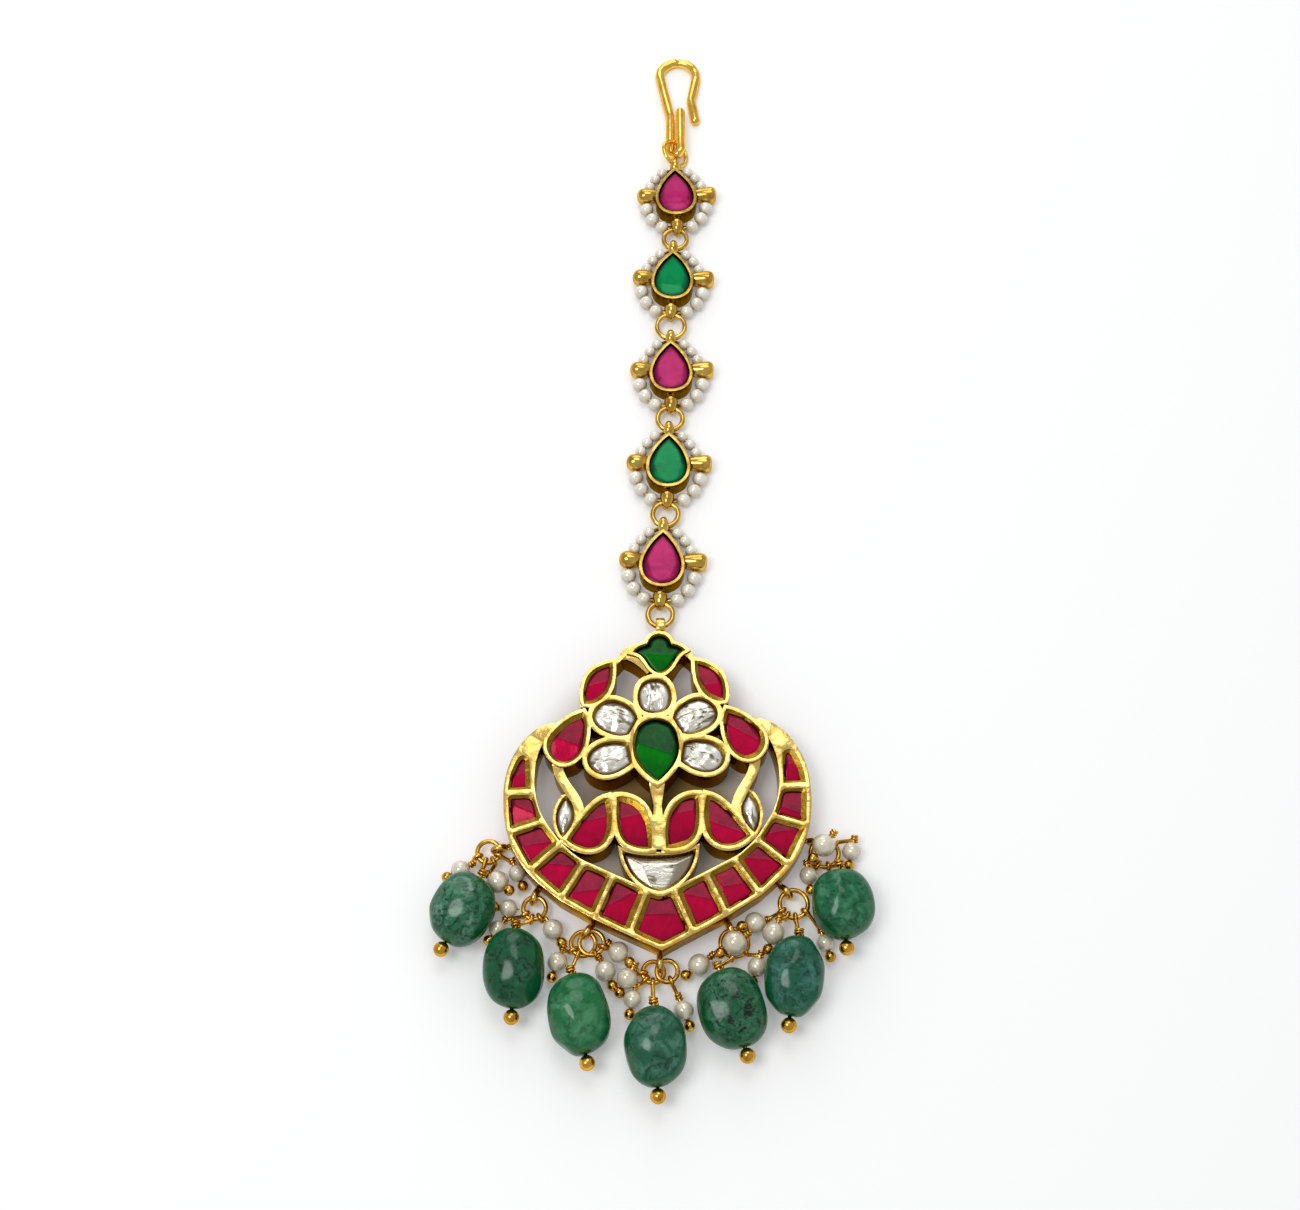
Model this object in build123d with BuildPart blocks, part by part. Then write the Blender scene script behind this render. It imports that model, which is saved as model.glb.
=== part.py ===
"""Maang tikka: a forehead jewel of a hook, five jewelled links and a crescent pendant with drops.

Millimetres. The jewel lies on its flat back at z = 0. The origin is under the centre emerald,
+X points to the right of the face, +Y along the chain towards the hook, +Z up through the stones.
"""
import os
from collections import namedtuple
from math import ceil, cos, radians, sin

from build123d import *

os.makedirs("parts", exist_ok=True)

# ---- driving dimensions -------------------------------------------------------------------

FLOWER_TOP = 4.6        # rims round the petals, the centre emerald and the side rubies
LOTUS_TOP = 4.4         # rims of the lotus and its arms
CRESCENT_TOP = 4.2      # rims of the crescent, the fan and the leaves
POCKET_FLOOR = 1.9      # stones of the pendant lie over this level
STONE_DROP = 0.35       # how far a stone's table stays under its rim
STONE_GAP = 0.12        # all round each stone
FLOWER_WALL = 0.6
RUBY_WALL = 0.45
FINE_WALL = 0.4
PENDANT_TURN = 1.5      # the hand-made pendant hangs a little askew, in degrees

OUTER_RIM = 0.5         # crescent, outside its rubies
INNER_RIM = 0.4         # crescent, inside its rubies
DIVIDER = 0.5           # gold bar between two rubies of the crescent
CORNER = 0.35           # cut corners of the crescent's pockets
FACET = 0.6             # length of the flats that follow a curved edge of the pendant
PENDANT = Plane(
    origin=(-0.12, 0, 0), x_dir=(cos(radians(PENDANT_TURN)), sin(radians(PENDANT_TURN)), 0)
)

LINK_TOP = 2.6          # rim of a link's setting
LINK_FLOOR = 1.0
LINK_WALL = 0.42
LINK_STONE_DROP = 0.25
STRING = 0.17           # radius of the wire that a link's seed pearls are strung on
PEARL_DRILL = 0.38
BOSS = 1.2              # radius of the gold boss at each side of a link
BOSS_PLACE = (4.5, 0.1)
BOSS_NECK = 0.7         # radius of the rod that carries the boss
BOSS_NECK_ROOT = (2.7, -0.3)
BOSS_START_LOW = (4.5, -0.8)        # where the strings of pearls leave the boss
BOSS_START_HIGH = (4.5, 0.9)

CHAIN_WIRE = 0.25       # radius of the wire of the chain's rings
SEAT_LOW = -6.2         # where a ring lies in the lower eye of a link, from the link's centre
SEAT_HIGH = 5.45        # and in its upper eye
EYE_LEVEL = 1.25        # height of the middle of the eyes that the chain's rings lie in
EYE_THICK = 0.48        # strap that the eyes are bent from
EYE_LENGTH = 2.6        # bail and upper eyes, along the chain
LOWER_EYE = (-7.2, -4.1)
UPPER_EYE = (4.2, 6.8)
LOWER_EYE_WIDTH = 1.25
UPPER_EYE_WIDTH = 0.65
BAIL = Plane(origin=(0.5, 17.9, 0))
BAIL_WIDTH = 0.9
BAIL_SEAT = 0.35        # where the lowest ring lies in the bail, from the bail's middle
BAIL_POST = 1.1         # joins the bail to the crown's wall
BAIL_POST_PLACE = -1.45

HOOK_WIRE = 0.5         # radius
HOOK_ROUTE = [(6.1, 103.9, 0.5), (5.5, 107.6, 0.5), (6.9, 115.3, 0.5), (0.0, 115.3, 0.5),
              (2.25, 104.5, 0.85), (2.25, 96.6, 1.0), (3.8, 96.6, 1.82), (3.8, 104.6, 1.65)]
HOOK_BENDS = [3.0, 2.9, 2.9, 4.0, 0.84, 0.84]
HOOK_RING_CENTRE = (2.95, 96.85, 1.42)
HOOK_RING_TILT = (0.57, 0, 0.82)    # what the ring's axis points along
HOOK_RING = 2.1
HOOK_RING_WIRE = 0.22

DROP_WIRE = 0.2         # radius of jump rings on the drops
PIN_WIRE = 0.16         # radius of head pins
PIN_EYE_WIRE = 0.18     # radius of the wire of their eyes, a little flattened
PIN_EYE = 0.48          # mid radius of the eye at the top of a head pin
PIN_BEND = 0.3          # from a bead or pearl to the bend of its pin
BEAD_HEAD = 0.85        # radius of the ball that holds a bead, and a pearl, on its pin
PEARL_HEAD = 0.6
HEAD_PLAY = 0.06        # between a bead or pearl and the head of its pin
BEAD_DRILL = 0.28
DROP_RING_LEVEL = 1.25  # height of a single jump ring, and of two that share a lug
TWIN_RING_LEVELS = (1.02, 1.48)
LUG_REACH = 1.2         # from the crescent's edge to the middle of a soldered lug's eye
LUG_EYE = 0.75          # mid radius
LUG_WIRE = 0.25
LUG_ROOT = 0.6          # how far a lug's stem runs inside the crescent

# ---- tables -------------------------------------------------------------------------------
# An outline is a list of smooth stretches. Each stretch starts where the last one ended, at a
# corner, and a stretch of two points is a straight line. A single closed ring of points is
# smooth all round. Points are in the pendant's own plane. Cells marked "pair" are mirrored.

Cell = namedtuple("Cell", "name wall top pair stretches")

TOP_PETAL = [[(0, 9.5), (1.55, 8.95), (2.2, 7.1), (1.5, 5.1), (0, 4.7), (-1.5, 5.1), (-2.2, 7.1),
              (-1.55, 8.95)]]
UPPER_PETAL = [[(2.25, 4.0), (3.1, 5.6), (4.3, 6.4), (5.9, 6.75), (7.35, 6.0), (8.1, 4.3),
                (7.5, 3.1), (6.2, 2.2), (4.7, 1.75), (3.4, 1.9)], [(3.4, 1.9), (2.25, 4.0)]]
LOWER_PETAL = [[(3.5, 0.75), (5.3, 1.1), (7.0, 0.8), (8.3, -0.1), (8.8, -1.4), (8.15, -2.75),
                (6.6, -3.45), (4.6, -2.95), (3.05, -1.85)], [(3.05, -1.85), (3.5, 0.75)]]
CENTRE_DROP = [[(0.05, -4.5), (2.0, -2.6), (2.85, -0.9), (2.9, 1.2), (2.1, 3.2), (0, 4.05),
                (-2.1, 3.2), (-2.9, 1.2), (-2.85, -0.9), (-2.0, -2.6), (0.05, -4.5)]]
SIDE_DROP = [[(9.2, 5.1), (11.0, 4.35), (12.7, 3.0), (13.95, 0.9), (13.4, -0.85), (11.9, -1.8),
              (10.25, -1.2), (9.15, 0.4), (8.75, 2.5), (8.85, 4.2), (9.2, 5.1)]]
UPPER_LEAF = [[(5.35, 11.9), (7.2, 11.3), (8.4, 10.4), (9.05, 9.0), (9.1, 6.2)],
              [(9.1, 6.2), (7.6, 6.35), (6.3, 7.4), (5.6, 8.8), (5.35, 10.4), (5.35, 11.9)]]
TREFOIL = [[(2.35, 14.35), (1.95, 15.3), (0.8, 15.8), (-0.35, 15.3), (-0.75, 14.4)],
           [(-0.75, 14.4), (-1.8, 14.1), (-2.75, 13.25)],
           [(-2.75, 13.25), (-1.3, 12.3), (-0.3, 10.8), (0.8, 10.15), (1.9, 10.7), (2.9, 12.1),
            (4.25, 13.4)],
           [(4.25, 13.4), (3.3, 14.1), (2.35, 14.35)]]
LOTUS_INNER = [[(0.9, -13.05), (0.85, -11.0), (1.3, -8.8), (2.45, -7.05), (4.0, -6.3),
                (5.1, -6.25)],
               [(5.1, -6.25), (5.2, -8.3), (5.0, -10.5), (4.4, -12.0), (2.9, -12.9),
                (0.9, -13.05)]]
LOTUS_OUTER = [[(6.2, -6.35), (7.5, -6.9), (8.8, -8.1), (10.1, -9.7), (11.5, -11.65)],
               [(11.5, -11.65), (10.2, -12.6), (8.8, -13.0), (7.3, -12.65), (6.3, -11.6),
                (5.85, -10.0), (5.8, -8.1), (6.2, -6.35)]]
LEAF = [[(11.55, -5.85), (12.45, -7.1), (12.85, -8.75), (12.6, -10.2), (11.95, -11.35)],
        [(11.95, -11.35), (10.9, -10.0), (10.45, -8.4), (10.8, -6.8), (11.55, -5.85)]]
FAN = [[(4.6, -13.15), (2.4, -13.75), (0, -13.9), (-2.4, -13.75), (-4.6, -13.15)],
       [(-4.6, -13.15), (-4.05, -15.2), (-2.8, -17.0), (-1.4, -18.0), (0, -18.45)],
       [(0, -18.45), (1.4, -18.0), (2.8, -17.0), (4.05, -15.2), (4.6, -13.15)]]

CELLS = [
    Cell("petal_polki_1", FLOWER_WALL, FLOWER_TOP, False, TOP_PETAL),
    Cell("upper_petal", FLOWER_WALL, FLOWER_TOP, True, UPPER_PETAL),
    Cell("lower_petal", FLOWER_WALL, FLOWER_TOP, True, LOWER_PETAL),
    Cell("centre_emerald", FLOWER_WALL, FLOWER_TOP, False, CENTRE_DROP),
    Cell("side_ruby", RUBY_WALL, FLOWER_TOP, True, SIDE_DROP),
    Cell("upper_ruby", RUBY_WALL, FLOWER_TOP, True, UPPER_LEAF),
    Cell("top_emerald", FINE_WALL, FLOWER_TOP, False, TREFOIL),
    Cell("lotus_inner", FLOWER_WALL, LOTUS_TOP, True, LOTUS_INNER),
    Cell("lotus_outer", FLOWER_WALL, LOTUS_TOP, True, LOTUS_OUTER),
    Cell("leaf_polki", FINE_WALL, CRESCENT_TOP, True, LEAF),
    Cell("fan_polki", FINE_WALL, CRESCENT_TOP, False, FAN),
]

# Solid gold between the cells: stem, arms and crown plates.
STEM = [[(-1.0, -4.4), (1.0, -4.4)], [(1.0, -4.4), (0.5, -7.5)], [(0.5, -7.5), (0.9, -13.2)],
        [(0.9, -13.2), (-0.9, -13.2)], [(-0.9, -13.2), (-0.5, -7.5)], [(-0.5, -7.5), (-1.0, -4.4)]]
ARM = [[(13.2, -1.4), (12.95, -3.1), (12.0, -4.9), (11.1, -6.6), (10.7, -8.2), (11.2, -10.0),
        (12.3, -12.4)],
       [(12.3, -12.4), (10.4, -9.8), (9.2, -8.1)],
       [(9.2, -8.1), (9.6, -6.5), (10.6, -4.8), (11.5, -3.3), (11.9, -1.6)],
       [(11.9, -1.6), (13.2, -1.4)]]
CROWN_PLATE = [[(-4.35, 13.05), (-3.7, 13.95), (-2.4, 14.5), (-0.9, 14.85)],
               [(-0.9, 14.85), (-0.2, 11.0)], [(-0.2, 11.0), (-0.9, 10.3)],
               [(-0.9, 10.3), (-2.3, 11.7), (-3.9, 12.65)], [(-3.9, 12.65), (-4.9, 11.6)],
               [(-4.9, 11.6), (-5.4, 11.9)], [(-5.4, 11.9), (-4.35, 13.05)]]
CROWN_HORN = [[(3.6, 13.6), (4.4, 14.0), (5.1, 13.1)], [(5.1, 13.1), (5.5, 11.9)],
              [(5.5, 11.9), (5.1, 11.2)], [(5.1, 11.2), (4.7, 12.2), (4.1, 12.75)],
              [(4.1, 12.75), (3.6, 13.6)]]

# Right half of the crescent's two edges, from the point at the bottom up to the horn.
OUTER_CORNERS = [(0, -25.7), (3.95, -23.8), (8.2, -21.65), (12.4, -19.2), (14.7, -17.25)]
OUTER_SWEEP = [(14.7, -17.25), (16.3, -15.6), (17.6, -13.7), (18.6, -11.6), (19.2, -9.0),
               (19.4, -6.2), (19.1, -3.0), (18.3, -0.7), (17.0, 1.4), (15.2, 3.1), (13.0, 3.85)]
INNER_SWEEP = [(12.6, 3.5), (14.1, 1.7), (15.1, -0.6), (15.5, -3.2), (15.3, -6.0),
               (14.4, -8.7), (13.3, -10.4), (12.1, -12.0), (10.7, -13.4), (9.2, -14.4)]
INNER_CORNERS = [(9.2, -14.4), (5.65, -16.1), (1.6, -18.1), (0, -18.8)]

Divider = namedtuple("Divider", "inner_x inner_y outer_x outer_y")
DIVIDERS = [            # bars between the rubies, from the lowest pair up
    Divider(1.6, -18.1, 3.95, -23.8),
    Divider(5.65, -16.1, 8.2, -21.65),
    Divider(9.2, -14.4, 12.4, -19.2),
    Divider(12.1, -12.0, 16.3, -15.6),
    Divider(14.2, -9.05, 19.0, -10.6),
    Divider(15.35, -5.4, 19.4, -5.4),
]
HORN_CELL = [[(15.95, -4.95), (18.85, -4.95)], [(18.85, -4.95), (18.3, -2.3), (17.7, -1.0)],
             [(17.7, -1.0), (16.9, -0.4), (16.1, -0.9)], [(16.1, -0.9), (15.95, -4.95)]]

# Links from the hook down to the pendant: centre of the stone's pocket, and the link's turn.
Link = namedtuple("Link", "x y turn")
LINKS = [Link(3.0, 88.9, 1.4), Link(2.4, 73.85, -2.0), Link(2.1, 58.15, 0.0),
         Link(1.65, 42.95, -1.5), Link(0.75, 27.8, -2.5)]
PEAR = [[(0, 3.85), (1.35, 2.35), (2.4, 0.35), (2.65, -1.35), (1.9, -3.1), (0, -3.8),
         (-1.9, -3.1), (-2.65, -1.35), (-2.4, 0.35), (-1.35, 2.35), (0, 3.85)]]

Seed = namedtuple("Seed", "x y radius")
LOWER_SEEDS = [Seed(4.45, -2.2, 0.97), Seed(3.65, -4.0, 0.95), Seed(2.25, -5.45, 0.93)]
UPPER_SEEDS = [Seed(3.85, 1.95, 0.78), Seed(3.0, 3.3, 0.78), Seed(1.95, 4.5, 0.78)]
LOWER_STRING_END = (0.4, -6.6)
UPPER_STRING_END = (0.15, 6.2)
STRING_LEVEL = 0.97     # middle of the seed pearls
STRING_FOOT = 0.24      # where a string ends, in the lower band of an eye

# Drops from left to right. A lug is soldered to the crescent's edge at its root and points
# along out. Each ring's bearing is the way from the lug's eye to the ring's centre.
Lug = namedtuple("Lug", "x y out ring_radius rings")
LUGS = [Lug(-18.7, -12.0, 195, 1.4, [195]), Lug(-14.8, -17.3, 250, 1.4, [270]),
        Lug(-7.9, -21.8, 235, 1.5, [250, 290]), Lug(0.3, -25.5, 272, 1.3, [230, 312]),
        Lug(8.6, -21.4, 292, 1.7, [285]), Lug(15.3, -16.9, 312, 1.75, [300]),
        Lug(18.8, -11.2, 345, 1.75, [310])]

# An emerald bead: the number of its ring, the bearing of its pin's eye on that ring, its centre,
# a place that the end of its pin points to, and its sizes along, across and above the pin.
Bead = namedtuple("Bead", "ring bearing centre aim length width height")
BEADS = [
    Bead(0, 255, (-23.9, -20.45, 3.3), (-26.1, -24.7, 2.8), 9.0, 8.0, 6.5),
    Bead(0, 257, (-17.4, -27.7, 3.3), (-17.5, -33.4, 3.0), 9.7, 7.6, 6.5),
    Bead(0, 245, (-9.45, -33.15, 3.3), (-8.35, -38.7, 3.0), 9.7, 7.6, 6.5),
    Bead(0, 268, (-0.22, -36.95, 3.3), (0.05, -42.6, 3.0), 9.5, 7.5, 6.5),
    Bead(0, 262, (8.95, -32.5, 3.3), (10.6, -37.6, 2.8), 9.6, 8.2, 6.5),
    Bead(0, 275, (16.53, -28.65, 3.25), (15.7, -34.4, 2.95), 9.8, 7.3, 6.4),
    Bead(0, 283, (22.85, -19.75, 3.3), (23.1, -25.0, 2.9), 8.9, 7.7, 6.5),
]

# A drop pearl: its ring and eye as for a bead, its centre and radius, and a place that the end
# of its pin points to.
Pearl = namedtuple("Pearl", "ring bearing centre radius aim")
PEARLS = [
    [Pearl(0, 205, (-24.6, -15.0, 1.3), 1.25, (-26.4, -15.9, 1.0)),
     Pearl(0, 300, (-19.85, -16.65, 1.95), 1.4, (-18.3, -17.9, 2.6)),
     Pearl(0, 340, (-17.5, -15.35, 1.2), 1.1, (-16.7, -17.1, 0.9))],
    [Pearl(0, 178, (-18.45, -19.85, 1.4), 1.15, (-20.2, -19.6, 1.2)),
     Pearl(0, 215, (-19.7, -22.4, 1.2), 1.1, (-21.1, -24.2, 1.0)),
     Pearl(0, 300, (-12.85, -22.5, 1.4), 1.3, (-11.9, -23.9, 1.2))],
    [Pearl(0, 212, (-12.2, -26.5, 1.3), 1.25, (-12.95, -28.5, 1.0)),
     Pearl(1, 340, (-4.75, -25.3, 1.4), 1.3, (-3.5, -26.5, 1.7)),
     Pearl(1, 290, (-6.35, -27.6, 1.35), 1.3, (-5.5, -29.2, 0.7))],
    [Pearl(0, 185, (-3.65, -28.55, 1.7), 1.3, (-4.7, -30.3, 0.9)),
     Pearl(0, 225, (-3.0, -31.0, 1.3), 1.15, (-3.4, -33.0, 1.1)),
     Pearl(1, 292, (3.2, -32.4, 1.4), 1.25, (4.0, -34.5, 1.2))],
    [Pearl(0, 205, (5.15, -26.9, 1.45), 1.4, (3.6, -28.0, 1.1)),
     Pearl(0, 65, (9.45, -24.6, 3.3), 1.5, (8.1, -25.5, 3.0)),
     Pearl(0, 318, (12.2, -27.1, 1.3), 1.2, (11.7, -28.6, 1.1))],
    [Pearl(0, 210, (12.1, -21.7, 1.4), 1.35, (10.7, -22.2, 2.1)),
     Pearl(0, 240, (14.3, -23.2, 2.4), 1.4, (13.6, -25.0, 2.0)),
     Pearl(0, 325, (20.7, -24.1, 1.2), 1.1, (21.35, -26.05, 1.0))],
    [Pearl(0, 85, (20.8, -12.4, 3.5), 1.45, (19.4, -14.0, 3.0)),
     Pearl(0, 40, (24.5, -12.6, 1.3), 1.2, (24.0, -14.55, 1.1)),
     Pearl(0, 240, (18.95, -15.7, 1.3), 1.15, (19.2, -17.6, 1.0))],
]


# ---- helpers ------------------------------------------------------------------------------

def finish(made, name):
    """Label a finished piece and write its file."""
    made.part.label = name
    export_step(made.part, f"parts/{name}.step")


def mirrored(stretches):
    """The same outline on the left side."""
    return [[(-x, y) for x, y in stretch] for stretch in stretches]


def flats(stretch):
    """Points along a stretch, without its last one: a short flat for each step of the curve."""
    if len(stretch) == 2:
        return [Vector(*stretch[0])]
    curve = Edge.make_spline([Vector(*point) for point in stretch])
    steps = ceil(curve.length / FACET)
    return [curve @ (step / steps) for step in range(steps)]


def filled(points):
    """Draw a closed outline through points and fill it, inside a sketch."""
    with BuildLine() as edge:
        Polyline(*points, close=True)
    return make_face(edge.edges())


def outline(stretches):
    """Draw an outline of smooth stretches and fill it, inside a sketch."""
    if len(stretches) == 1 and stretches[0][0] != stretches[0][-1]:
        ring = Edge.make_spline([Vector(*point) for point in stretches[0]], periodic=True)
        steps = ceil(ring.length / FACET)
        return filled([ring @ (step / steps) for step in range(steps)])
    return filled([point for stretch in stretches for point in flats(stretch)])


def both_sides(cell):
    """Yield the cell's stretches, and their mirror image where it is one of a pair."""
    yield cell.stretches
    if cell.pair:
        yield mirrored(cell.stretches)


def rod(start, end, radius):
    """Add a straight round wire to the part being built."""
    run = Vector(end) - Vector(start)
    with Locations(Plane(origin=start, z_dir=run)):
        Cylinder(radius, run.length, align=(Align.CENTER, Align.CENTER, Align.MIN))


def ball(centre, radius):
    """Add a round ball to the part being built."""
    with Locations(Location(centre)):
        Sphere(radius)


def polar(centre, reach, bearing, level):
    """A point at a reach and bearing from another, at a level."""
    turn = radians(bearing)
    return Vector(centre[0] + reach * cos(turn), centre[1] + reach * sin(turn), level)


def crescent_pocket(low, high):
    """Corners of the pocket between two dividers, inside the rims."""
    corners = []
    for bar, other in ((low, high), (high, low)):
        inner = Vector(bar.inner_x, bar.inner_y)
        outer = Vector(bar.outer_x, bar.outer_y)
        across = (outer - inner).normalized()
        middle = Vector((other.inner_x + other.outer_x) / 2, (other.inner_y + other.outer_y) / 2)
        aside = Vector(-across.Y, across.X)
        if aside.dot(middle - inner) < 0:
            aside = aside * -1
        shift = aside * (DIVIDER / 2)
        corners.append((inner + across * (INNER_RIM / 2 + 0.15) + shift,
                        outer - across * OUTER_RIM * 1.1 + shift))
    (low_in, low_out), (high_in, high_out) = corners
    return [low_in, low_out, high_out, high_in]


def other_side(bar):
    """A divider mirrored to the left."""
    return Divider(-bar.inner_x, bar.inner_y, -bar.outer_x, bar.outer_y)


def block_outline(corners):
    """Draw a crescent pocket with cut corners, inside a sketch."""
    chamfer(filled(corners).vertices(), CORNER)


def crescent_outlines():
    """One drawing function for each pocket of the crescent, from left horn to right horn."""
    right = [crescent_pocket(low, high) for low, high in zip(DIVIDERS, DIVIDERS[1:])]
    left = [[Vector(-p.X, p.Y) for p in corners] for corners in right]
    middle_left = other_side(DIVIDERS[0])
    bottom = crescent_pocket(middle_left, DIVIDERS[0])
    middle = [bottom[0], bottom[1], Vector(0, OUTER_CORNERS[0][1] + OUTER_RIM * 1.2),
              bottom[2], bottom[3], Vector(0, INNER_CORNERS[-1][1] - INNER_RIM * 0.9)]
    blocks = list(reversed(left)) + [middle] + right
    drawings = [lambda corners=corners: block_outline(corners) for corners in blocks]
    drawings.insert(0, lambda: outline(mirrored(HORN_CELL)))
    drawings.append(lambda: outline(HORN_CELL))
    return drawings


def standing_eye(root, out):
    """Solder a standing wire eye to the crescent's edge, at a root and pointing a way out."""
    middle = polar(root, LUG_REACH, out, EYE_LEVEL)
    with Locations(Plane(origin=middle, z_dir=polar((0, 0), 1, out + 90, 0))):
        Torus(LUG_EYE, LUG_WIRE)
    rod(polar(root, -LUG_ROOT, out, EYE_LEVEL), polar(root, LUG_REACH - LUG_EYE, out, EYE_LEVEL),
        LUG_WIRE)


def strap_eye(base, low, high, width):
    """Add a flat strap bent into a standing eye, from low to high along the chain."""
    middle = base.from_local_coords((0, (low + high) / 2, EYE_LEVEL))
    with BuildSketch(Plane(origin=middle, x_dir=base.y_dir, z_dir=base.x_dir)) as strap:
        SlotOverall(high - low, 2 * EYE_LEVEL)
        SlotOverall(high - low - 2 * EYE_THICK, 2 * (EYE_LEVEL - EYE_THICK), mode=Mode.SUBTRACT)
    extrude(strap.sketch, amount=width / 2, both=True)


def string_stops(base, side, seeds, start, end):
    """The points that a string of seed pearls runs through, from the boss to an eye."""
    stops = [(*start, STRING_LEVEL)]
    stops += [(seed.x, seed.y, STRING_LEVEL) for seed in seeds]
    stops += [(*end, STRING_FOOT)]
    return [base.from_local_coords((side * x, y, z)) for x, y, z in stops]


def string(stops):
    """Add the wire that a row of seed pearls is strung on."""
    for here, there in zip(stops, stops[1:]):
        rod(here, there, STRING)
        ball(there, STRING)


def drilled_ball(before, centre, after, radius, drill):
    """Add a round bead with a hole that points from one place to another."""
    with Locations(Plane(origin=centre, z_dir=after - before)):
        Sphere(radius)
        Cylinder(drill, 3 * radius, mode=Mode.SUBTRACT)


# ---- pendant ------------------------------------------------------------------------------

crescent_half = [*OUTER_CORNERS[:-1], *flats(OUTER_SWEEP), OUTER_SWEEP[-1],
                 *flats(INNER_SWEEP), *INNER_CORNERS]
crescent_half = [Vector(*point) for point in crescent_half]
crescent_edge = crescent_half + [Vector(-p.X, p.Y) for p in reversed(crescent_half[1:-1])]

SOLID_GOLD = [(STEM, LOTUS_TOP), (ARM, CRESCENT_TOP), (mirrored(ARM), CRESCENT_TOP),
              (CROWN_PLATE, CRESCENT_TOP), (CROWN_HORN, CRESCENT_TOP)]

with BuildPart() as soldered_eyes:
    for lug in LUGS:
        standing_eye((lug.x, lug.y), lug.out)
    strap_eye(BAIL, -EYE_LENGTH / 2, EYE_LENGTH / 2, BAIL_WIDTH)
    with BuildSketch(BAIL):
        with Locations((0, BAIL_POST_PLACE)):
            Rectangle(BAIL_WIDTH, BAIL_POST)
    extrude(amount=2 * EYE_LEVEL - EYE_THICK)

with BuildPart() as pendant_frame:
    for top in (CRESCENT_TOP, LOTUS_TOP, FLOWER_TOP):
        with BuildSketch(PENDANT):
            if top == CRESCENT_TOP:
                filled(crescent_edge)
            for cell in CELLS:
                if cell.top == top:
                    for stretches in both_sides(cell):
                        with BuildSketch() as walled:
                            outline(stretches)
                            offset(amount=cell.wall, kind=Kind.INTERSECTION)
                        add(walled.sketch)
            for stretches, height in SOLID_GOLD:
                if height == top:
                    outline(stretches)
        extrude(amount=top)
    with BuildSketch(PENDANT.offset(POCKET_FLOOR)):
        for cell in CELLS:
            for stretches in both_sides(cell):
                outline(stretches)
        for draw in crescent_outlines():
            draw()
    extrude(amount=FLOWER_TOP, mode=Mode.SUBTRACT)
    add(soldered_eyes.part)
finish(pendant_frame, "pendant_frame")


def stone_node(name, drawings, top):
    """Make one node of flat stones, each a little smaller than its pocket."""
    with BuildPart() as stones:
        with BuildSketch(PENDANT.offset(POCKET_FLOOR + STONE_GAP)):
            for draw in drawings:
                with BuildSketch() as stone:
                    draw()
                    offset(amount=-STONE_GAP)
                add(stone.sketch)
        extrude(amount=top - STONE_DROP - POCKET_FLOOR - STONE_GAP)
    finish(stones, name)


def drawer(stretches):
    """A drawing function for one outline."""
    return lambda: outline(stretches)


TWIN_NAMES = {
    "upper_petal": ("petal_polki_2", "petal_polki_3"),
    "lower_petal": ("petal_polki_4", "petal_polki_5"),
}
for cell in CELLS:
    if cell.name.startswith("lotus"):
        continue
    names = TWIN_NAMES.get(cell.name, (f"{cell.name}_right", f"{cell.name}_left"))
    if not cell.pair:
        names = (cell.name,)
    for name, stretches in zip(names, both_sides(cell)):
        stone_node(name, [drawer(stretches)], cell.top)
lotus_cells = [cell for cell in CELLS if cell.name.startswith("lotus")]
stone_node("lotus_rubies", [drawer(stretches) for cell in lotus_cells
                            for stretches in both_sides(cell)], LOTUS_TOP)
stone_node("crescent_rubies", crescent_outlines(), CRESCENT_TOP)


# ---- chain of jewelled links --------------------------------------------------------------

def link_plane(link):
    """The plane that a link lies on, with +Y along the link."""
    turn = radians(link.turn)
    return Plane(origin=(link.x, link.y, 0), x_dir=(cos(turn), sin(turn), 0))


def seed_rows():
    """The four rows of seed pearls of a link: side, seeds, start and end of the string."""
    for side in (1, -1):
        yield side, LOWER_SEEDS, BOSS_START_LOW, LOWER_STRING_END
        yield side, UPPER_SEEDS, BOSS_START_HIGH, UPPER_STRING_END


for number, link in enumerate(LINKS, start=1):
    base = link_plane(link)
    with BuildPart() as link_setting:
        with BuildSketch(base):
            with BuildSketch() as walled:
                outline(PEAR)
                offset(amount=LINK_WALL, kind=Kind.INTERSECTION)
            add(walled.sketch)
        extrude(amount=LINK_TOP)
        with BuildSketch(base.offset(LINK_FLOOR)):
            outline(PEAR)
        extrude(amount=LINK_TOP, mode=Mode.SUBTRACT)
        strap_eye(base, *LOWER_EYE, LOWER_EYE_WIDTH)
        strap_eye(base, *UPPER_EYE, UPPER_EYE_WIDTH)
        for side in (1, -1):
            boss = base.from_local_coords((side * BOSS_PLACE[0], BOSS_PLACE[1], BOSS))
            root = base.from_local_coords((side * BOSS_NECK_ROOT[0], BOSS_NECK_ROOT[1], BOSS))
            ball(boss, BOSS)
            rod(root, boss, BOSS_NECK)
        for side, seeds, start, end in seed_rows():
            string(string_stops(base, side, seeds, start, end))
    finish(link_setting, f"link_setting_{number}")

    with BuildPart() as link_stone:
        with BuildSketch(base.offset(LINK_FLOOR + STONE_GAP)):
            with BuildSketch() as stone:
                outline(PEAR)
                offset(amount=-STONE_GAP)
            add(stone.sketch)
        extrude(amount=LINK_TOP - LINK_STONE_DROP - LINK_FLOOR - STONE_GAP)
    finish(link_stone, f"link_stone_{number}")

    with BuildPart() as link_pearls:
        for side, seeds, start, end in seed_rows():
            stops = string_stops(base, side, seeds, start, end)
            for seed, before, centre, after in zip(seeds, stops, stops[1:], stops[2:]):
                drilled_ball(before, centre, after, seed.radius, PEARL_DRILL)
    finish(link_pearls, f"link_pearls_{number}")


# ---- rings between the links --------------------------------------------------------------

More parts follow.
